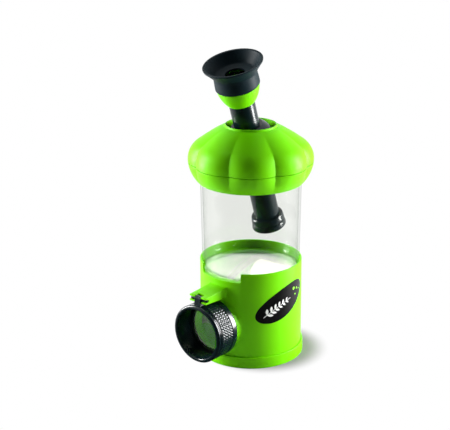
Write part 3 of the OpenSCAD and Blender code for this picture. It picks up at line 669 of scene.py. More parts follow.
endRing = {
    "shoulderStep": 2.95,
    "flare": 0.6,
    "shoulderRound": 1.6,
    "collarEase": ((-0.75, 0), (-0.5, 0.06), (-0.12, 0.4), (0, 0.9), (-0.1, 2.2)),
    "ringEase": ((-0.02, -1.1), (-0.12, -0.4), (-0.5, -0.06), (-0.75, 0)),
    "ringHeight": 5.2,
    "lipWidth": 2.8,
    "lipRound": 0.7,
    "mouthRound": 0.3,
    "bore": 7.3,
    "boreEase": 0.4,
    "lensEdge": 1.6,
}
lensSag = {"eye": 1.8, "objective": 1.1, "magnifier": 2.2}

bowlFoot, barrelTop = alongViewer("eyepiece_housing")
bowlTop, cupTop = alongViewer("eyecup")
collarFoot, collarTop = alongViewer("objective_collar")
mouthHeight, cellBarrelTop = alongViewer("objective_cell")
bowlRadius = nodeBox("eyepiece_housing")[1].x
rimRadius = nodeBox("eyecup")[1].x
tubeTop = alongViewer("scope_tube")[1]


def addBowl():
    foot = tubeRadius + bowl["foot"]
    rise = Vector((bowlRadius - foot, bowlTop - bowlFoot))
    depth = math.sqrt(bowl["sideRound"] ** 2 - (rise.length / 2) ** 2)
    centre = Vector((foot, bowlFoot)) + rise / 2 + depth * Vector((-rise.y, rise.x)) / rise.length
    start = math.degrees(math.atan2(bowlFoot - centre.y, foot - centre.x))
    end = math.degrees(math.atan2(bowlTop - centre.y, bowlRadius - centre.x))
    side = arc(centre.x, centre.y, bowl["sideRound"], start, end, bowl["steps"])
    barrel = bowlRadius - bowl["barrelStep"]
    seat = bowlTop + (barrelTop - bowlTop) * bowl["seatShare"]
    hollow, hold = bowl["hollow"], tubeTop + bowl["tubeHold"]
    outline = eased(tubeRadius, bowlFoot, bowl["footEase"]) + side[:-1]
    outline += eased(bowlRadius, bowlTop, bowl["brimEase"])
    outline += [(barrel, bowlTop), (barrel, barrelTop - barrelRound), (barrel - barrelRound, barrelTop),
                (hollow, barrelTop), (hollow, seat), (hollow - lensStop, seat), (hollow - lensStop, bowlTop),
                (tubeRadius - tubeWall, hold), (tubeRadius + tubeGap, hold)]
    addTurned("eyepieceBowl", "eyepiece_housing", outline, 144, viewerPlace, "viewer", "lime_plastic")


def addRubberCup():
    c = rubberCup
    lower, waist = bowlRadius + c["step"], bowlRadius - bowl["barrelStep"] + c["wall"]
    waistHeight, floor = bowlTop + c["waistUp"], bowlTop + c["floorUp"]
    rimHeight, lip, foot = cupTop - c["lip"], c["lip"] / 2, c["footRound"]
    run = Vector((rimRadius - waist - c["waistRound"], rimHeight - waistHeight))
    touch = math.degrees(math.atan2(run.y, run.x) + math.acos(c["waistRound"] / run.length))
    barrel = bowlRadius - bowl["barrelStep"] + c["grip"]
    mouth, floorEdge = rimRadius - c["rimWidth"], waist - c["floorIn"]
    outline = [(barrel, bowlTop), (lower - foot, bowlTop)]
    outline += arc(lower - foot, bowlTop + foot, foot, -75, 0, 6)
    outline += eased(lower, bowlTop, [c["side"]]) + eased(waist, waistHeight, [c["waistEase"]])
    outline += arc(waist + c["waistRound"], waistHeight, c["waistRound"], 180, touch, 8)
    outline += eased(rimRadius, rimHeight, c["rimEase"])
    outline += arc(rimRadius - lip, cupTop - lip, lip, -30, 90, 6)
    outline += eased(mouth, cupTop, c["mouthEase"])
    funnel = Vector((mouth - floorEdge, rimHeight - floor)) - Vector((c["funnelShort"], c["funnelShort"]))
    outline += [(mouth - funnel.x * share, rimHeight - funnel.y * share) for share in c["funnelRings"]]
    outline += eased(floorEdge, floor, c["floorEase"]) + eased(c["hole"], floor, c["holeEase"])
    outline += [(c["hole"], floor - c["floorThick"]), (barrel, floor - c["floorThick"])]
    addTurned("rubberEyecup", "eyecup", outline, 144, viewerPlace, "viewer", "black_rubber", 35)


def addEndRings():
    e = endRing
    shoulder, size = tubeRadius + e["shoulderStep"], e["shoulderRound"]
    groove = shoulder + e["flare"]
    outline = [(tubeRadius + tubeGap, collarFoot)] + eased(groove, collarFoot, e["collarEase"])
    outline += arc(shoulder - size, collarTop - size, size, 0, 90, 9) + [(tubeRadius + tubeGap, collarTop)]
    addTurned("objectiveCollar", "objective_collar", outline, 128, viewerPlace, "viewer", "black_plastic", 40)
    mouth = nodeBox("objective_cell")[1].x
    lip, lipEdge, bore, ease = e["lipRound"], mouth - e["lipWidth"], e["bore"], e["boreEase"]
    top = mouthHeight + e["ringHeight"]
    barrel = tubeRadius - tubeWall - tubeGap
    seat = top + e["lensEdge"]
    outline = [(lipEdge + e["mouthRound"], mouthHeight), (mouth - lip, mouthHeight)]
    outline += arc(mouth - lip, mouthHeight + lip, lip, -60, 0, 4) + eased(groove, top, e["ringEase"])
    outline += [(barrel, top), (barrel, cellBarrelTop - barrelRound), (barrel - barrelRound, cellBarrelTop),
                (bore, cellBarrelTop), (bore, seat), (bore - lensStop, seat), (bore - lensStop, top),
                (bore + ease, top - ease), (lipEdge, mouthHeight + e["mouthRound"])]
    addTurned("objectiveRing", "objective_cell", outline, 128, viewerPlace, "objective", "black_plastic", 40)


def lensOutline(radius, low, high, sag, rim=1.3, steps=10, edge=0.15):
    view = radius - rim
    size = (view ** 2 + sag ** 2) / (2 * sag)
    sweep = math.degrees(math.asin(view / size))
    under = arc(0, low - sag + size, size, -90, -90 + sweep, steps)
    over = arc(0, high + sag - size, size, 90 - sweep, 90, steps)
    under[0], over[-1] = (0, low - sag), (0, high + sag)
    rimPoints = [(radius - edge, low), (radius, low + edge), (radius, high - edge), (radius - edge, high)]
    return under + rimPoints + over


def addViewerLens(name, node, body, sag):
    low, high = alongViewer(node)
    outline = lensOutline(nodeBox(node)[1].x, low + sag, high - sag, sag)
    addTurned(name, node, outline, 96, viewerPlace, body, "lens_plastic")


addBowl()
addRubberCup()
addEndRings()
addViewerLens("eyeLens", "eyepiece_lens", "viewer", lensSag["eye"])
addViewerLens("objectiveLens", "objective_lens", "objective", lensSag["objective"])
print("viewer modelled")


# magnifier: ring with a rounded lip, grooves, a diamond knurl and a hinge tab

magnifier = {
    "lip": 2.4,
    "lipRound": 1.9,
    "hoodWall": 3.5,
    "hoodEase": ((0, 1.2), (0.12, 0.6), (0.6, 0.08), (1.0, 0)),
    "grooves": 3,
    "groove": ((0.04, 0.2), (0.14, 0.28), (0.6, 0.38), (0.6, 0.62), (0.14, 0.72), (0.04, 0.8)),
    "knurlFrom": 5.5,
    "knurlWidth": 13.5,
    "knurlDepth": 0.24,
    "knurlSeat": 0.35,
    "knurlInside": 1,
    "bandEase": ((0, -0.5), (-0.1, -0.25)),
    "bandGap": 0.1,
    "columns": 64,
    "rows": 4,
    "diamondSlope": 0.75,  # width, as seen from outside
    "backRound": 0.9,
    "lensBack": 4.5,
    "lensEdge": 2.2,
    "lensGap": 0.1,
    "ringThick": 1.2,
    "ringRound": (0.35, 0.2),
    "hold": 1.4,
    "holdIn": 0.6,
    "lensRadius": 21.4,
    "view": 20.2,
    "viewEdge": 0.3,
    "jaw": 6,
    "hingeGap": 0.34,
    "pinHole": 1.5,
    "tabWidth": 6.32,
    "tabBack": 1.5,
    "tabFoot": 1.2,
    "tabEdge": 0.35,
    "tabFlare": (1.12, 1.2),
}


def magnifierOutline():
    m = magnifier
    radius, length = magnifierRadius, magnifierBack - magnifierFront
    hood = radius - m["hoodWall"]
    knurlTo = m["knurlFrom"] + m["knurlWidth"]
    floor = radius - m["knurlDepth"] - m["knurlSeat"]
    outline = eased(hood, 0, m["hoodEase"])
    outline += arc(radius - m["lipRound"], m["lipRound"], m["lipRound"], -90, 0, 9)
    pitch = (m["knurlFrom"] - m["knurlDepth"] - m["lip"]) / m["grooves"]
    for i in range(m["grooves"]):
        outline += [(radius - sink, m["lip"] + pitch * (i + share)) for sink, share in m["groove"]]
    outline += eased(radius, m["knurlFrom"], m["bandEase"])
    outline += [(floor, m["knurlFrom"] - m["bandGap"]), (floor, knurlTo + m["bandGap"])]
    outline += eased(radius, knurlTo, [(out, -up) for out, up in reversed(m["bandEase"])])
    outline += arc(radius - m["backRound"], length - m["backRound"], m["backRound"], 0, 90, 5)
    seat = length - m["lensBack"]
    hold = seat - m["lensEdge"] - m["ringThick"] - m["hold"]
    bed = m["lensRadius"] + m["lensGap"]
    outline += [(m["view"] + m["viewEdge"], length), (m["view"], length - m["viewEdge"]), (m["view"], seat)]
    return outline + [(bed, seat), (bed, hold), (hood - m["holdIn"], hold)]


def addKnurl():
    # a strip of squares is poked, and what is left between the pokes are the diamonds
    m = magnifier
    radius, low = magnifierRadius - m["knurlDepth"], m["knurlFrom"]
    clearSelection()
    bpy.ops.mesh.primitive_circle_add(vertices=m["columns"], radius=radius * mm, location=(0, 0, low * mm))
    piece = namePiece("knurlBand")
    startEdit(piece)
    step = m["knurlWidth"] / m["rows"]
    for _ in range(m["rows"]):
        extrudeBy(0, 0, step)
    bpy.ops.mesh.select_all(action="SELECT")
    bpy.ops.mesh.poke()
    rowHeights = [low + step * i for i in range(m["rows"] + 1)]

    def onGrid(vertex):
        return min(abs(vertex.co.z / mm - height) for height in rowHeights) < 0.01

    pick(piece, "edges", lambda edge: not edge.is_boundary and all(onGrid(v) for v in edge.verts))
    bpy.ops.mesh.dissolve_edges(use_verts=False)
    bpy.ops.mesh.select_mode(type="FACE")
    bpy.ops.mesh.select_all(action="SELECT")
    bpy.ops.mesh.normals_make_consistent(inside=False)
    bpy.ops.mesh.inset(thickness=m["diamondSlope"] * mm, depth=m["knurlDepth"] * mm, use_individual=True,
                       use_boundary=True, use_even_offset=True)
    pick(piece, "edges", lambda edge: edge.is_boundary)
    extrudeBy(0, 0, 0)
    share = (radius - m["knurlInside"]) / radius
    resizeAbout((0, 0, low), share, share)
    pick(piece, "edges", lambda edge: edge.is_boundary)
    bpy.ops.mesh.bridge_edge_loops()
    return tidyMesh(piece)


def addTab():
    # a plate with a roll round the pin, a little wider at its foot
    m = magnifier
    knuckle, half = m["jaw"] / 2 - m["hingeGap"], m["tabWidth"] / 2
    foot = portHeight + magnifierRadius - m["hoodWall"] + m["tabFoot"]
    tab = boxPiece("hingeTab", (-half, pinAt.y - knuckle, foot), (half, pinAt.y + m["tabBack"], pinAt.z))
    pinHole = rodPiece("pinHole", m["pinHole"], (-10, pinAt.y, pinAt.z), (10, pinAt.y, pinAt.z), 48)
    roll = rodPiece("hingeRoll", knuckle, (-half, pinAt.y, pinAt.z), (half, pinAt.y, pinAt.z), 64)
    cutBy(tab, roll, "UNION")
    cutBy(tab, pinHole)
    roundEdges(tab, m["tabEdge"], 40)
    startEdit(tab)
    pick(tab, "verts", lambda v: v.co.z / mm < portHeight + magnifierRadius)
    resizeAbout((0, pinAt.y, foot), *m["tabFlare"])
    endEdit()
    return tab


def addMagnifier():
    m = magnifier
    ring = turnedPiece("magnifierRing", magnifierOutline(), 180)
    knurl = addKnurl()
    bakePlace(ring, magnifierPlace)
    bakePlace(knurl, magnifierPlace)
    tab = addTab()
    makeActive(ring)
    for part in (knurl, tab):
        part.select_set(True)
    bpy.ops.object.join()
    finishPiece(ring, "magnifier", "black_plastic", ["magnifier_housing"], smooth=18)
    seat = magnifierBack - magnifierFront - m["lensBack"]
    front, view, edge = seat - m["lensEdge"], m["view"], m["lensRadius"]
    outline = lensOutline(edge, front, seat, lensSag["magnifier"])
    addTurned("magnifierLens", "magnifier_lens", outline, 128, magnifierPlace, "magnifier", "lens_plastic")
    low, (showing, hidden) = front - m["ringThick"], m["ringRound"]
    outline = roundCorners([(view, low, showing), (edge, low, hidden), (edge, front, 0), (view, front, hidden)])
    addTurned("magnifierLensRing", "magnifier_lens_ring", outline, 128, magnifierPlace, "magnifier",
              "black_plastic")


def addPin():
    high = nodeBox("hinge_pin")[1]
    length, radius, end = high.x, (high.z - nodeBox("hinge_pin")[0].z) / 2, 0.6
    outline = [(0, -length)] + arc(radius - end, -length + end, end, -90, 0, 4)
    outline += arc(radius - end, length - end, end, 0, 90, 4) + [(0, length)]
    addTurned("hingePin", "hinge_pin", outline, 48, pinPlace, "magnifier", "black_plastic")


addMagnifier()
addPin()
print("magnifier modelled")


# clear jar

jar = {
    "wall": 1.8,
    "floor": 2.4,
    "draft": 0.97,  # degrees
    "footCut": 0.9,
    "innerRound": 1.6,
    "rimRound": 0.6,
    "rimZone": 5,
}
draft = math.tan(math.radians(jar["draft"]))
jarRadiusAtFoot = jarRadius - (jarTop - jarFoot) * draft


def addJar():
    j = jar
    floor, low = jarFoot + j["floor"], (jarTop - j["rimZone"]) * mm
    inFoot = jarRadiusAtFoot + j["floor"] * draft - j["wall"]
    section = [(0, jarFoot, 0), (jarRadiusAtFoot, jarFoot, j["footCut"]), (jarRadius, jarTop, j["rimRound"]),
               (jarRadius - j["wall"], jarTop, j["rimRound"]), (inFoot, floor, j["innerRound"]), (0, floor, 0)]
    piece = turnedPiece("clearJar", roundCorners(section, 6), 256)
    finishPiece(piece, "jar", "clear_plastic", ["clear_jar"], smooth=40)
    # the flat floor is polished clearer than the moulded wall
    piece.data.materials.append(jarPlastic("jarFloor", jarFloorLook))
    startEdit(piece, "DESELECT")
    pick(piece, "faces", lambda face: abs(face.normal.z) > 0.99 and face.calc_center_median().z < low)
    piece.active_material_index = 1
    bpy.ops.object.material_slot_assign()
    endEdit()


addJar()
print("jar modelled")


# base: turned housing with the rim notch, port stub and hinge arm

housing = {
    "wall": 2.5,
    "rimWall": 1.67,
    "ledgeWidth": 4.5,
    "ledgeThick": 2.5,
    "ledgeRound": 0.5,
    "notchHalf": 28.6,  # degrees
    "notchRound": 1.2,
    "notchInside": 0.25,  # how far in the notch reaches, as a share of its width and depth
    "edge": 0.35,
    "rimEdge": 0.56,
    "seatEdge": 0.2,
    "boss": 4.2,
    "bossSink": 0.4,
    "bossTurns": (30, 150, 270),
    "bossHeight": 11.8,
    "bossFrom": 0.1,
    "bossHole": (1.45, 9.1),  # radius and height
    "port": 20,
    "portWall": 2.3,
    "portReach": 3.4,
    "portFillet": 2.2,
    "filletSteps": 7,
    "portBury": (0.6, -0.4, -1.3),  # how much wider than the fillet, and two distances outside the wall
    "portEdge": ((-0.45, 0), (-0.12, -0.13), (0, -0.45)),
    "portIn": 0.3,
    "portGap": 0.04,
    "boreEnd": 20,
    "spare": 5,  # how far tools and guides reach past the housing
    "armWidth": 18.8,
    "armRise": 3.6,
    "armDrop": 2,
    "armFillet": 1.0,
    "armSteps": 6,
    "armEdge": 0.45,
    "armParts": 4,
    "armGrow": 0.12,
    "armAxisDown": 0.4,
    "armFilletGrow": 1.02,
    "armSink": 0.5,
    "jaw": 6,
    "jawGap": 7,
    "jawRound": 1.5,
    "jawEdge": 0.3,
    "pinInset": 2,
    "pinHole": 1.5,
    "slot": 2.7,
}
bossAt = baseRadius - housing["wall"] - housing["boss"] + housing["bossSink"]


def pressOn(piece, guide, points, **settings):
    # presses points onto a guide, which is then removed
    group = piece.vertex_groups.new(name="pressed")
    group.add(points, 1, "REPLACE")
    applyModifier(piece, "SHRINKWRAP", target=guide, vertex_group=group.name, **settings)
    piece.vertex_groups.clear()
    bpy.data.objects.remove(guide)


def hugWall(piece, points, distance):
    # presses points onto the housing's wall the shortest way, at a distance outside it
    guide = rodPiece("wallGuide", baseRadius, (0, 0, 0), (0, 0, baseTop + 20), 512)
    pressOn(piece, guide, points, wrap_method="NEAREST_SURFACEPOINT", wrap_mode="ABOVE_SURFACE",
            offset=distance * mm)


def wrapOnWall(piece, points, distance):
    # presses points straight back onto the front of the housing's wall, at a distance outside it
    spare = housing["spare"]
    guide = rodPiece("wallGuide", baseRadius + distance, (0, 0, -spare), (0, 0, baseTop + spare), 512)
    pressOn(piece, guide, points, wrap_method="PROJECT", use_project_y=True)


def addPortStub():
    # rings run from the front face back to the wall, where a fillet spreads them
    h = housing
    port, radius, front = h["port"], h["port"] + h["portWall"], baseRadius + h["portReach"]
    fillet, steps = h["portFillet"], h["filletSteps"]
    section = [(port, front - h["portIn"]), (port + h["portIn"], front)] + eased(radius, front, h["portEdge"])
    piece = turnedPiece("portStub", section, 144, closed=False)
    startEdit(piece, "DESELECT")
    pick(piece, "edges", lambda edge: edge.is_boundary and edge.verts[0].co.xy.length > (port + 1) * mm)
    # each row as its radius and its distance outside the wall; the last ones lie inside the wall
    angles = [math.pi / 2 * i / steps for i in range(steps + 1)]
    rows = [(radius + fillet * (1 - math.cos(a)), fillet * (1 - math.sin(a))) for a in angles]
    wider, shallow, deep = h["portBury"]
    rows += [(radius + fillet + wider, shallow), (radius + fillet + wider, deep), (port, deep)]
    size, pressed = radius, []
    for wider, distance in rows:
        extrudeBy(0, 0, 0.3)
        resizeAbout((0, 0, 0), wider / size, wider / size)
        pressed.append((pickedPoints(piece), distance))
        size = wider
    pick(piece, "edges", lambda edge: edge.is_boundary)
    bpy.ops.mesh.bridge_edge_loops()
    bakePlace(piece, portPlace)
    for points, distance in pressed:
        wrapOnWall(piece, points, distance)
    return tidyMesh(piece)


def addArm():
    # the section of the arm as a rounded frame, drawn out from the tip to the housing
    h = housing
    tip, half, outside = pinAt.y - h["pinInset"], h["armWidth"] / 2, h["armWidth"] / 2 + 4
    clearSelection()
    bpy.ops.mesh.primitive_plane_add(size=1, location=(0, tip * mm, pinAt.z * mm), rotation=(math.pi / 2, 0, 0))
    piece = namePiece("hingeArm", (2 * half * mm, h["jaw"] * mm, 1))
    startEdit(piece)
    bpy.ops.mesh.bevel(offset=h["armEdge"] * mm, segments=3, affect="VERTICES")
    bpy.ops.mesh.select_all(action="SELECT")
    extrudeBy(0, h["jawRound"], 0)
    reach = -(baseRadius + h["armFillet"]) - tip - h["jawRound"]
    grow = 1 + (h["armRise"] + h["armDrop"]) * h["armGrow"] / h["jaw"]
    for _ in range(h["armParts"]):
        extrudeBy(0, reach / h["armParts"], 0)
        resizeAbout((0, 0, pinAt.z - h["armAxisDown"]), 1, 1, grow)
    # the fillet, and one row more inside the wall
    steps, width, rows = h["armSteps"], half, []
    for i in range(1, steps + 2):
        angle = math.pi / 2 * min(i, steps) / steps
        sink = h["armSink"] if i > steps else 0
        wider = half + h["armFillet"] * (1 - math.cos(angle)) + sink
        extrudeBy(0, 0.3, 0)
        resizeAbout((0, 0, pinAt.z), wider / width, 1, wider / width * h["armFilletGrow"])
        width = wider
        rows.append((pickedPoints(piece), -sink or h["armFillet"] * (1 - math.sin(angle))))
    endEdit()
    for points, distance in rows:
        hugWall(piece, points, distance)
    tidyMesh(piece)
    cut, deep, slot = h["jawGap"] / 2, h["jaw"] / 2, h["slot"] / 2
    gapBack = pinAt.y + deep + magnifier["hingeGap"]
    cutBy(piece, boxPiece("jawGap", (-cut, tip - 2, pinAt.z - deep - 4), (cut, gapBack, pinAt.z + deep + 4)))
    left, right = (-outside, pinAt.y, pinAt.z), (outside, pinAt.y, pinAt.z)
    cutBy(piece, rodPiece("pinHole", h["pinHole"], left, right, 64))
    cutBy(piece, boxPiece("pinSlot", (-outside, tip - 2, pinAt.z - slot), (outside, pinAt.y, pinAt.z + slot)))
    roundEdges(piece, h["jawEdge"], 50)
    return piece


def addHousing():
    h = housing
    inside, rim, edge = baseRadius - h["wall"], baseRadius - h["rimWall"], h["edge"]
    ledge, under = jarRadiusAtFoot - h["ledgeWidth"], jarFoot - h["ledgeThick"]
    section = [(inside, coverTop, 0), (baseRadius, coverTop, 0), (baseRadius, baseTop, h["rimEdge"]),
               (rim, baseTop, edge), (rim, jarFoot, h["seatEdge"]), (ledge, jarFoot, edge),
               (ledge, under, edge), (inside, under - (inside - ledge) / 2, h["ledgeRound"])]
    wall = turnedPiece("baseHousing", roundCorners(section, 3), 256)
    wide, far = 2 * baseRadius * math.tan(math.radians(h["notchHalf"])), 2 * baseRadius
    share = h["notchInside"]
    notch = boxPiece("rimNotch", (-wide, -far, jarFoot), (wide, -far * share, baseTop + h["spare"]))
    startEdit(notch, "DESELECT")
    pick(notch, "verts", lambda v: v.co.y > -baseRadius * mm)
    resizeAbout((0, 0, 0), share, 1)
    pick(notch, "edges", lambda edge: all(v.co.z < (jarFoot + 0.1) * mm for v in edge.verts)
         and abs(edge.verts[0].co.y - edge.verts[1].co.y) > 10 * mm)
    bpy.ops.mesh.bevel(offset=h["notchRound"] * mm, segments=4, affect="EDGES")
    endEdit()
    cutBy(wall, notch)
    holeRadius, holeHeight = h["bossHole"]
    for turn in h["bossTurns"]:
        x, y = onCircle(bossAt, turn)
        boss = rodPiece("boss", h["boss"], (x, y, coverTop + h["bossFrom"]), (x, y, coverTop + h["bossHeight"]), 48)
        cutBy(wall, boss, "UNION")
        cutBy(wall, rodPiece("bossHole", holeRadius, (x, y, 0), (x, y, coverTop + holeHeight), 32))
    bore = h["port"] + h["portGap"]
    start, end = (0, -baseRadius - h["spare"], portHeight), (0, -h["boreEnd"], portHeight)
    cutBy(wall, rodPiece("portBore", bore, start, end, 144))
    cutBy(wall, addArm(), "UNION")
    cutBy(wall, addPortStub(), "UNION")
    finishPiece(wall, "base", "lime_plastic", ["base_housing"], smooth=32)


# underside plate with the foot ring and its three counterbores

foot = {
    "band": 3,
    "groove": 7.5,
    "grooveRound": 0.4,
    "rise": 0.8,
    "riseEdge": 0.3,
    "edge": 0.7,
    "fit": 0.1,
    "fitEdge": 0.15,
    "head": 2.9,
    "headDepth": 2.1,
    "hole": 1.5,
}


def addCover():
    f = foot
    rest = baseRadius - f["band"]
    restIn, wall = rest - f["groove"], baseRadius + f["fit"]
    section = [(restIn, f["rise"], f["grooveRound"]), (rest, f["rise"], f["grooveRound"]),
               (rest + f["rise"], 0, f["riseEdge"]), (footRadius, 0, f["edge"]),
               (footRadius, footTop, f["edge"]), (wall, footTop, f["fitEdge"]), (wall, coverTop, 0)]
    outline = [(0, 0), (restIn - f["rise"] - f["riseEdge"], 0), (restIn - f["rise"], 0.05)]
    cover = turnedPiece("bottomCover", outline + roundCorners(section, 4) + [(0, coverTop)], 256)
    for turn in housing["bossTurns"]:
        x, y = onCircle(bossAt, turn)
        cutBy(cover, rodPiece("headHole", f["head"], (x, y, -1), (x, y, f["headDepth"]), 48))
        cutBy(cover, rodPiece("shankHole", f["hole"], (x, y, -1), (x, y, coverTop + 1), 32))
    finishPiece(cover, "base", "lime_plastic", ["bottom_cover"], smooth=32)


addHousing()
addCover()
print("base modelled")


# cross-head screws: one is modelled for each place, the rest are copies

screw = {
    "head": 2.8,
    "headHeight": 1.7,
    "headSteps": ((0.6, 1), (0.9, 0.75), (1, 0.4)),  # shares of the head's radius and height
    "headEdge": 0.15,
    "shank": 1.4,
    "length": 9,
    "coverLength": 9.9,
    "threads": 7,
    "threadFrom": 0.6,
    "threadDepth": 0.3,
    "threadCrest": 0.45,  # shares of the pitch
    "threadEnd": 0.9,
    "tip": 0.3,
    "cross": 2.6,
    "crossWidth": 0.7,
    "crossDepth": 1.0,
    "crossTurn": 2.3,  # turns the crosses each another way
    "retainerIn": 3.6,
    "capIn": 1.2,
}


def modelScrew(name, length):
    s = screw
    head, shank, core = s["head"], s["shank"], s["shank"] - s["threadDepth"]
    outline = [(0, -s["headHeight"])] + [(head * out, -s["headHeight"] * up) for out, up in s["headSteps"]]
    outline += [(head, -s["headEdge"]), (head - s["headEdge"], 0), (shank, 0)]
    pitch = (length - 2 * shank) / s["threads"]
    for i in range(s["threads"]):
        start = s["threadFrom"] + pitch * i
        crest, end = start + pitch * s["threadCrest"], start + pitch * s["threadEnd"]
        outline += [(core, start), (shank, crest), (core, end)]
    outline += [(shank / 4, length - s["tip"]), (0, length)]
    piece = turnedPiece(name, outline, 32)
    for wide, deep in ((s["cross"], s["crossWidth"]), (s["crossWidth"], s["cross"])):
        cutBy(piece, boxPiece("slot", (-wide / 2, -deep / 2, -s["headHeight"] - 1),
                              (wide / 2, deep / 2, s["crossDepth"] - s["headHeight"])))
    return piece


def placeScrews(name, body, node, turns, distance, height, length=screw["length"]):
    first = modelScrew(name + "1", length)
    for i, turn in enumerate(turns):
        piece = first
        if i < len(turns) - 1:
            makeActive(first)
            bpy.ops.object.duplicate()
            piece = bpy.context.active_object
        piece.name = name + str(i + 1)
        place = Matrix.Translation(Vector((*onCircle(distance, turn), height)) * mm)
        bakePlace(piece, place @ Matrix.Rotation(math.radians(turn) * screw["crossTurn"], 4, "Z"))
        finishPiece(piece, body, "screw_steel", [node])


retainerAt = nodeBox("ball_retainer")[1].x - screw["retainerIn"]
retainerFoot = nodeBox("ball_retainer")[0].z
capScrewAt = jarRadius - jar["wall"] - screw["capIn"] - screw["head"]
placeScrews("coverScrew", "base", "cover_screws", housing["bossTurns"], bossAt, foot["headDepth"],
            screw["coverLength"])
placeScrews("retainerScrew", "cap", "retainer_screws", (0, 90, 180, 270), retainerAt, retainerFoot)
placeScrews("capScrew", "cap", "cap_screws", (45, 135, 225, 315), capScrewAt, jarTop)
print("screws modelled")


# label: an oval plate bent round the housing, with a printed sprig and dots of a plain made-up pattern

label = {
    "halfLength": 27.7,
    "halfWidth": 12.8,
    "thick": 0.4,
    "turn": 79,  # degrees round the housing
    "rise": 26,
    "plateSides": 144,
    "plateRings": (1, 0.996, 0.99, 0.97, 0.9, 0.8, 0.7, 0.6, 0.5, 0.4, 0.3, 0.2, 0.1),
    "edgeAt": (0.06, 0.3),  # how far outside the wall the plate's two outer rings lie
    "back": 0.35,
    "print": 0.05,
    "printHold": 0.05,
    "sprigFrom": 7.5,
    "sprigBend": 1.4,
    "sprigDown": 0.7,
    "sprigTurn": 14,
    "taper": 0.45,
    "stem": 0.5,
    "stemSteps": 10,
    "stemShort": 0.78,
    "stemEndShort": 0.2,
    "stemLeast": 0.05,
    "leafCount": 6,
    "leafLength": 5.6,
    "leafWidth": 2.3,
    "leafTilt": 48,
    "leafPitch": 4.6,
    "leafFrom": 1.5,
    "leafStep": 0.92,  # as a share of the pitch
    "leafReach": 0.56,
    "leafPoint": 0.22,
    "pointedFrom": (0.55, 0.7, 0.85, 0.95),
    "dots": [(15.5, 3.4, 1.5), (19.3, 0.4, 1.05), (15.0, -3.0, 0.8), (21.7, -2.6, 0.6)],
}
labelHeight = (nodeBox("label_plate")[0].z + nodeBox("label_plate")[1].z) / 2


def ovalSheet(name, place, length, width, turn, sides, rings, pointed=0):
    # a flat oval made of rings in front of the housing, its long axis turned from level
    clearSelection()
    bpy.ops.mesh.primitive_circle_add(vertices=sides, radius=1)
    piece = namePiece(name)
    startEdit(piece)
    size = 1
    for ring in rings[1:]:
        extrudeBy(0, 0, 0)
        resizeAbout((0, 0, 0), ring / size, ring / size)
        size = ring
    closeTip(0)
    bpy.ops.mesh.select_all(action="SELECT")
    bpy.ops.mesh.normals_make_consistent(inside=False)
    if pointed:
        # draws the sides in towards both tips, a little more for each step outwards
        for edge in label["pointedFrom"]:
            pick(piece, "verts", lambda v: abs(v.co.x) > edge)
            resizeAbout((0, 0, 0), 1, 1 - pointed)
    rise = math.radians(label["rise"])
    along = Vector((math.cos(rise), 0, math.sin(rise)))
    across = Vector((-math.sin(rise), 0, math.cos(rise)))
    centre = Vector((0, -baseRadius - 12, labelHeight)) + along * place[0] + across * place[1]
    turned = Matrix.Rotation(-(rise + math.radians(turn)), 4, "Y") @ Matrix.Rotation(math.pi / 2, 4, "X")
    scaled = Matrix.Diagonal((length * mm, width * mm, 1, 1))
    bakePlace(piece, Matrix.Translation(centre * mm) @ turned @ scaled)
    return piece


def sprigMarks():
    # a bent stem of short strokes, with a pair of leaves at each step
    b, marks = label, []
    length, count = b["leafPitch"], b["leafCount"]
    start = -b["halfLength"] + b["sprigFrom"]
    for i in range(b["stemSteps"]):
        share = i / (b["stemSteps"] - 1)
        along = start + share * length * (count - b["stemEndShort"])
        place = (along, b["sprigBend"] * math.sin(share * math.pi) - b["sprigDown"])
        thick = b["stem"] * (1 - b["taper"] * share) / 2 + b["stemLeast"]
        marks.append(ovalSheet("stem", place, length * count / b["stemSteps"] * b["stemShort"], thick,
                               b["sprigTurn"] * (1 - 2 * share), 12, (1, 0.5)))
    for i in range(count):
        share = i / count
        at = start + b["leafFrom"] + i * length * b["leafStep"]
        lift = b["sprigBend"] * math.sin((at - start) / (length * count) * math.pi) - b["sprigDown"]
        size = 1 - b["taper"] * share
        for side in (1, -1):
            tilt = side * b["leafTilt"] + b["sprigTurn"] * (1 - 2 * share)
            reach = onCircle(b["leafLength"] * size * b["leafReach"], tilt)
            marks.append(ovalSheet("leaf", (at + reach.x, lift + reach.y), b["leafLength"] * size / 2,
                                   b["leafWidth"] * size / 2, tilt, 20, (1, 0.66, 0.33), b["leafPoint"]))
    return marks


def finishSheet(piece, depth, look=None, standsFor=()):
    # gives a sheet in front of the housing a back and an edge, and turns it to its place
    startEdit(piece)
    if sum(face.normal.y for face in bmesh.from_edit_mesh(piece.data).faces) > 0:
        bpy.ops.mesh.flip_normals()
    endEdit()
    applyModifier(piece, "SOLIDIFY", thickness=depth * mm, offset=-1)
    bakePlace(piece, Matrix.Rotation(math.radians(label["turn"]), 4, "Z"))
    finishPiece(piece, "base", "label_gloss", standsFor, smooth=40, look=look)


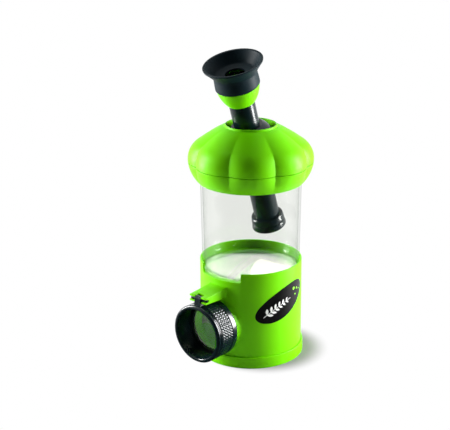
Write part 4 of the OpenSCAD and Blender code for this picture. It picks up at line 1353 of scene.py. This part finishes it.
def addLabel():
    sides = label["plateSides"]
    plate = ovalSheet("labelPlate", (0, 0), label["halfLength"], label["halfWidth"], 0, sides,
                      label["plateRings"])
    points = list(range(len(plate.data.vertices)))
    for i, distance in enumerate(label["edgeAt"]):
        wrapOnWall(plate, points[i * sides:(i + 1) * sides], distance)
    wrapOnWall(plate, points[2 * sides:], label["thick"])
    finishSheet(plate, label["back"], standsFor=["label_plate"])
    sprig = sprigMarks()
    dots = [ovalSheet("dot", (x, y), size, size, 0, 24, (1, 0.6, 0.3)) for x, y, size in label["dots"]]
    for marks, name, look in ((sprig, "labelSprig", "printWhite"), (dots, "labelDots", "printLime")):
        for mark in marks:
            wrapOnWall(mark, list(range(len(mark.data.vertices))), label["thick"] + label["print"])
        makeActive(marks[0])
        for mark in marks[1:]:
            mark.select_set(True)
        bpy.ops.object.join()
        marks[0].name = name
        finishSheet(marks[0], label["print"] + label["printHold"], printLooks[look])


addLabel()
print("label modelled")


# studio: a pale floor, two soft lamps at the sides, a small one behind and a key lamp above

studio = {
    "floorSize": 6,
    # painted shade: inside a disc round the base the floor shows this darker tone, tinted a little magenta against
    # the green light that the base throws on it, with the real shadow on top
    "paintedShadeColor": (0.26, 0.235, 0.26),  # as seen
    "floorDim": (0.62, 0.62, 0.6),  # as the light that it throws back
    "floorRoughness": 0.9,
    "floorLift": 0.03,
    # the next three place that disc of painted shade, centred to the right where the real shadow falls
    "paintedShadeNear": 0.036,  # where the floor starts to fade into plain white
    "paintedShadeFar": 0.059,
    "paintedShadeShift": 0.013,  # how far to the right the shaded ground is centred
    "shineShare": 1.0,  # how much of the white shows in reflections
    "frontShare": 0.04,  # what of that is left towards the front
    "frontFade": (-0.1, 0.6),
    "ambient": 0.12,
    "aimHeight": 0.14,
}
# turn is in degrees to the right of the camera's direction; the rest is in metres and watts
lamps = {
    "leftSoftbox": {"turn": -102, "distance": 0.7, "height": 0.25, "size": (0.24, 0.5), "power": 12.5},
    "rightSoftbox": {"turn": 95, "distance": 0.65, "height": 0.25, "size": (0.24, 0.5), "power": 13.0},
    "backSoftbox": {"turn": 180, "distance": 0.9, "height": 0.4, "size": (0.26, 0.16), "power": 0.65},
    "keyLight": {"turn": -125, "distance": 0.28, "height": 1.15, "size": (0.3, 0.3), "power": 1.0},
}


def whiteShare(tree, place):
    # 1 for rays that see the white straight or through clear plastic; reflections see less of it
    # towards the front, where such a studio is dark
    rays = addNode(tree, "ShaderNodeLightPath").outputs
    direct = addMath(tree, "MAXIMUM", rays["Is Camera Ray"], rays["Is Transmission Ray"])
    ahead = vectorMath(tree, "DOT_PRODUCT", place, flatBack)
    share = addMath(tree, "DIVIDE", ahead, vectorMath(tree, "LENGTH", place))
    level = remap(tree, share, studio["shineShare"], studio["shineShare"] * studio["frontShare"],
                  *studio["frontFade"], "SMOOTHSTEP")
    shine = addMath(tree, "MULTIPLY", rays["Is Glossy Ray"], level)
    return addMath(tree, "MAXIMUM", direct, shine), direct, rays["Is Diffuse Ray"]


def addFloor():
    bpy.ops.mesh.primitive_plane_add(size=studio["floorSize"], location=(0, 0, 0))
    floor = bpy.context.active_object
    floor.name = "paleFloor"
    material, tree, shader = newMaterial("paleFloor", studio["paintedShadeColor"], studio["floorRoughness"],
                                         {"Specular IOR Level": 0, "Emission Color": (1, 1, 1)})
    place = addNode(tree, "ShaderNodeTexCoord").outputs["Object"]
    # painted shade: round the base the white glow gives way to the darker floor tone, which also shows the real
    # shadow
    away = vectorMath(tree, "LENGTH", vectorMath(tree, "SUBTRACT", place, aside * studio["paintedShadeShift"]))
    far = remap(tree, away, 0, 1, studio["paintedShadeNear"], studio["paintedShadeFar"], "SMOOTHSTEP")
    seen, direct, bounced = whiteShare(tree, place)
    lit = blendColors(tree, bounced, (0, 0, 0), studio["floorDim"])
    near = blendColors(tree, far, studio["paintedShadeColor"], (0, 0, 0))
    feed(tree, shader.inputs["Base Color"], blendColors(tree, direct, lit, near))
    glow = addMath(tree, "MULTIPLY", remap(tree, far, studio["floorLift"], 1, 0, 1), seen)
    feed(tree, shader.inputs["Emission Strength"], glow)
    floor.data.materials.append(material)


def addWorld():
    world = bpy.data.worlds.new("studioWorld")
    bpy.context.scene.world = world
    world.use_nodes = True
    tree = world.node_tree
    tree.nodes.clear()
    seen, _, bounced = whiteShare(tree, addNode(tree, "ShaderNodeTexCoord").outputs["Generated"])
    strength = addMath(tree, "MAXIMUM", seen, addMath(tree, "MULTIPLY", bounced, studio["ambient"]))
    background = addNode(tree, "ShaderNodeBackground", {"Color": (1, 1, 1), "Strength": strength})
    addNode(tree, "ShaderNodeOutputWorld", {"Surface": background.outputs["Background"]})


def addLamp(name, settings):
    angle = math.radians(settings["turn"])
    level = (flatBack * math.cos(angle) + aside * math.sin(angle)) * settings["distance"]
    place = level + Vector((0, 0, settings["height"]))
    aim = (place - Vector((0, 0, studio["aimHeight"]))).to_track_quat("Z", "Y").to_euler()
    bpy.ops.object.light_add(type="AREA", location=place, rotation=aim)
    lamp = bpy.context.active_object
    lamp.name = name
    lamp.data.shape = "RECTANGLE"
    lamp.data.size, lamp.data.size_y = settings["size"]
    lamp.data.energy = settings["power"]
    lamp.visible_camera = False
    # the lenses already let the lamps' light through as shadow rays
    lamp.visible_transmission = False


addFloor()
addWorld()
for name, settings in lamps.items():
    addLamp(name, settings)
bpy.context.scene.view_settings.view_transform = "Standard"
print("studio lit")

print("done")
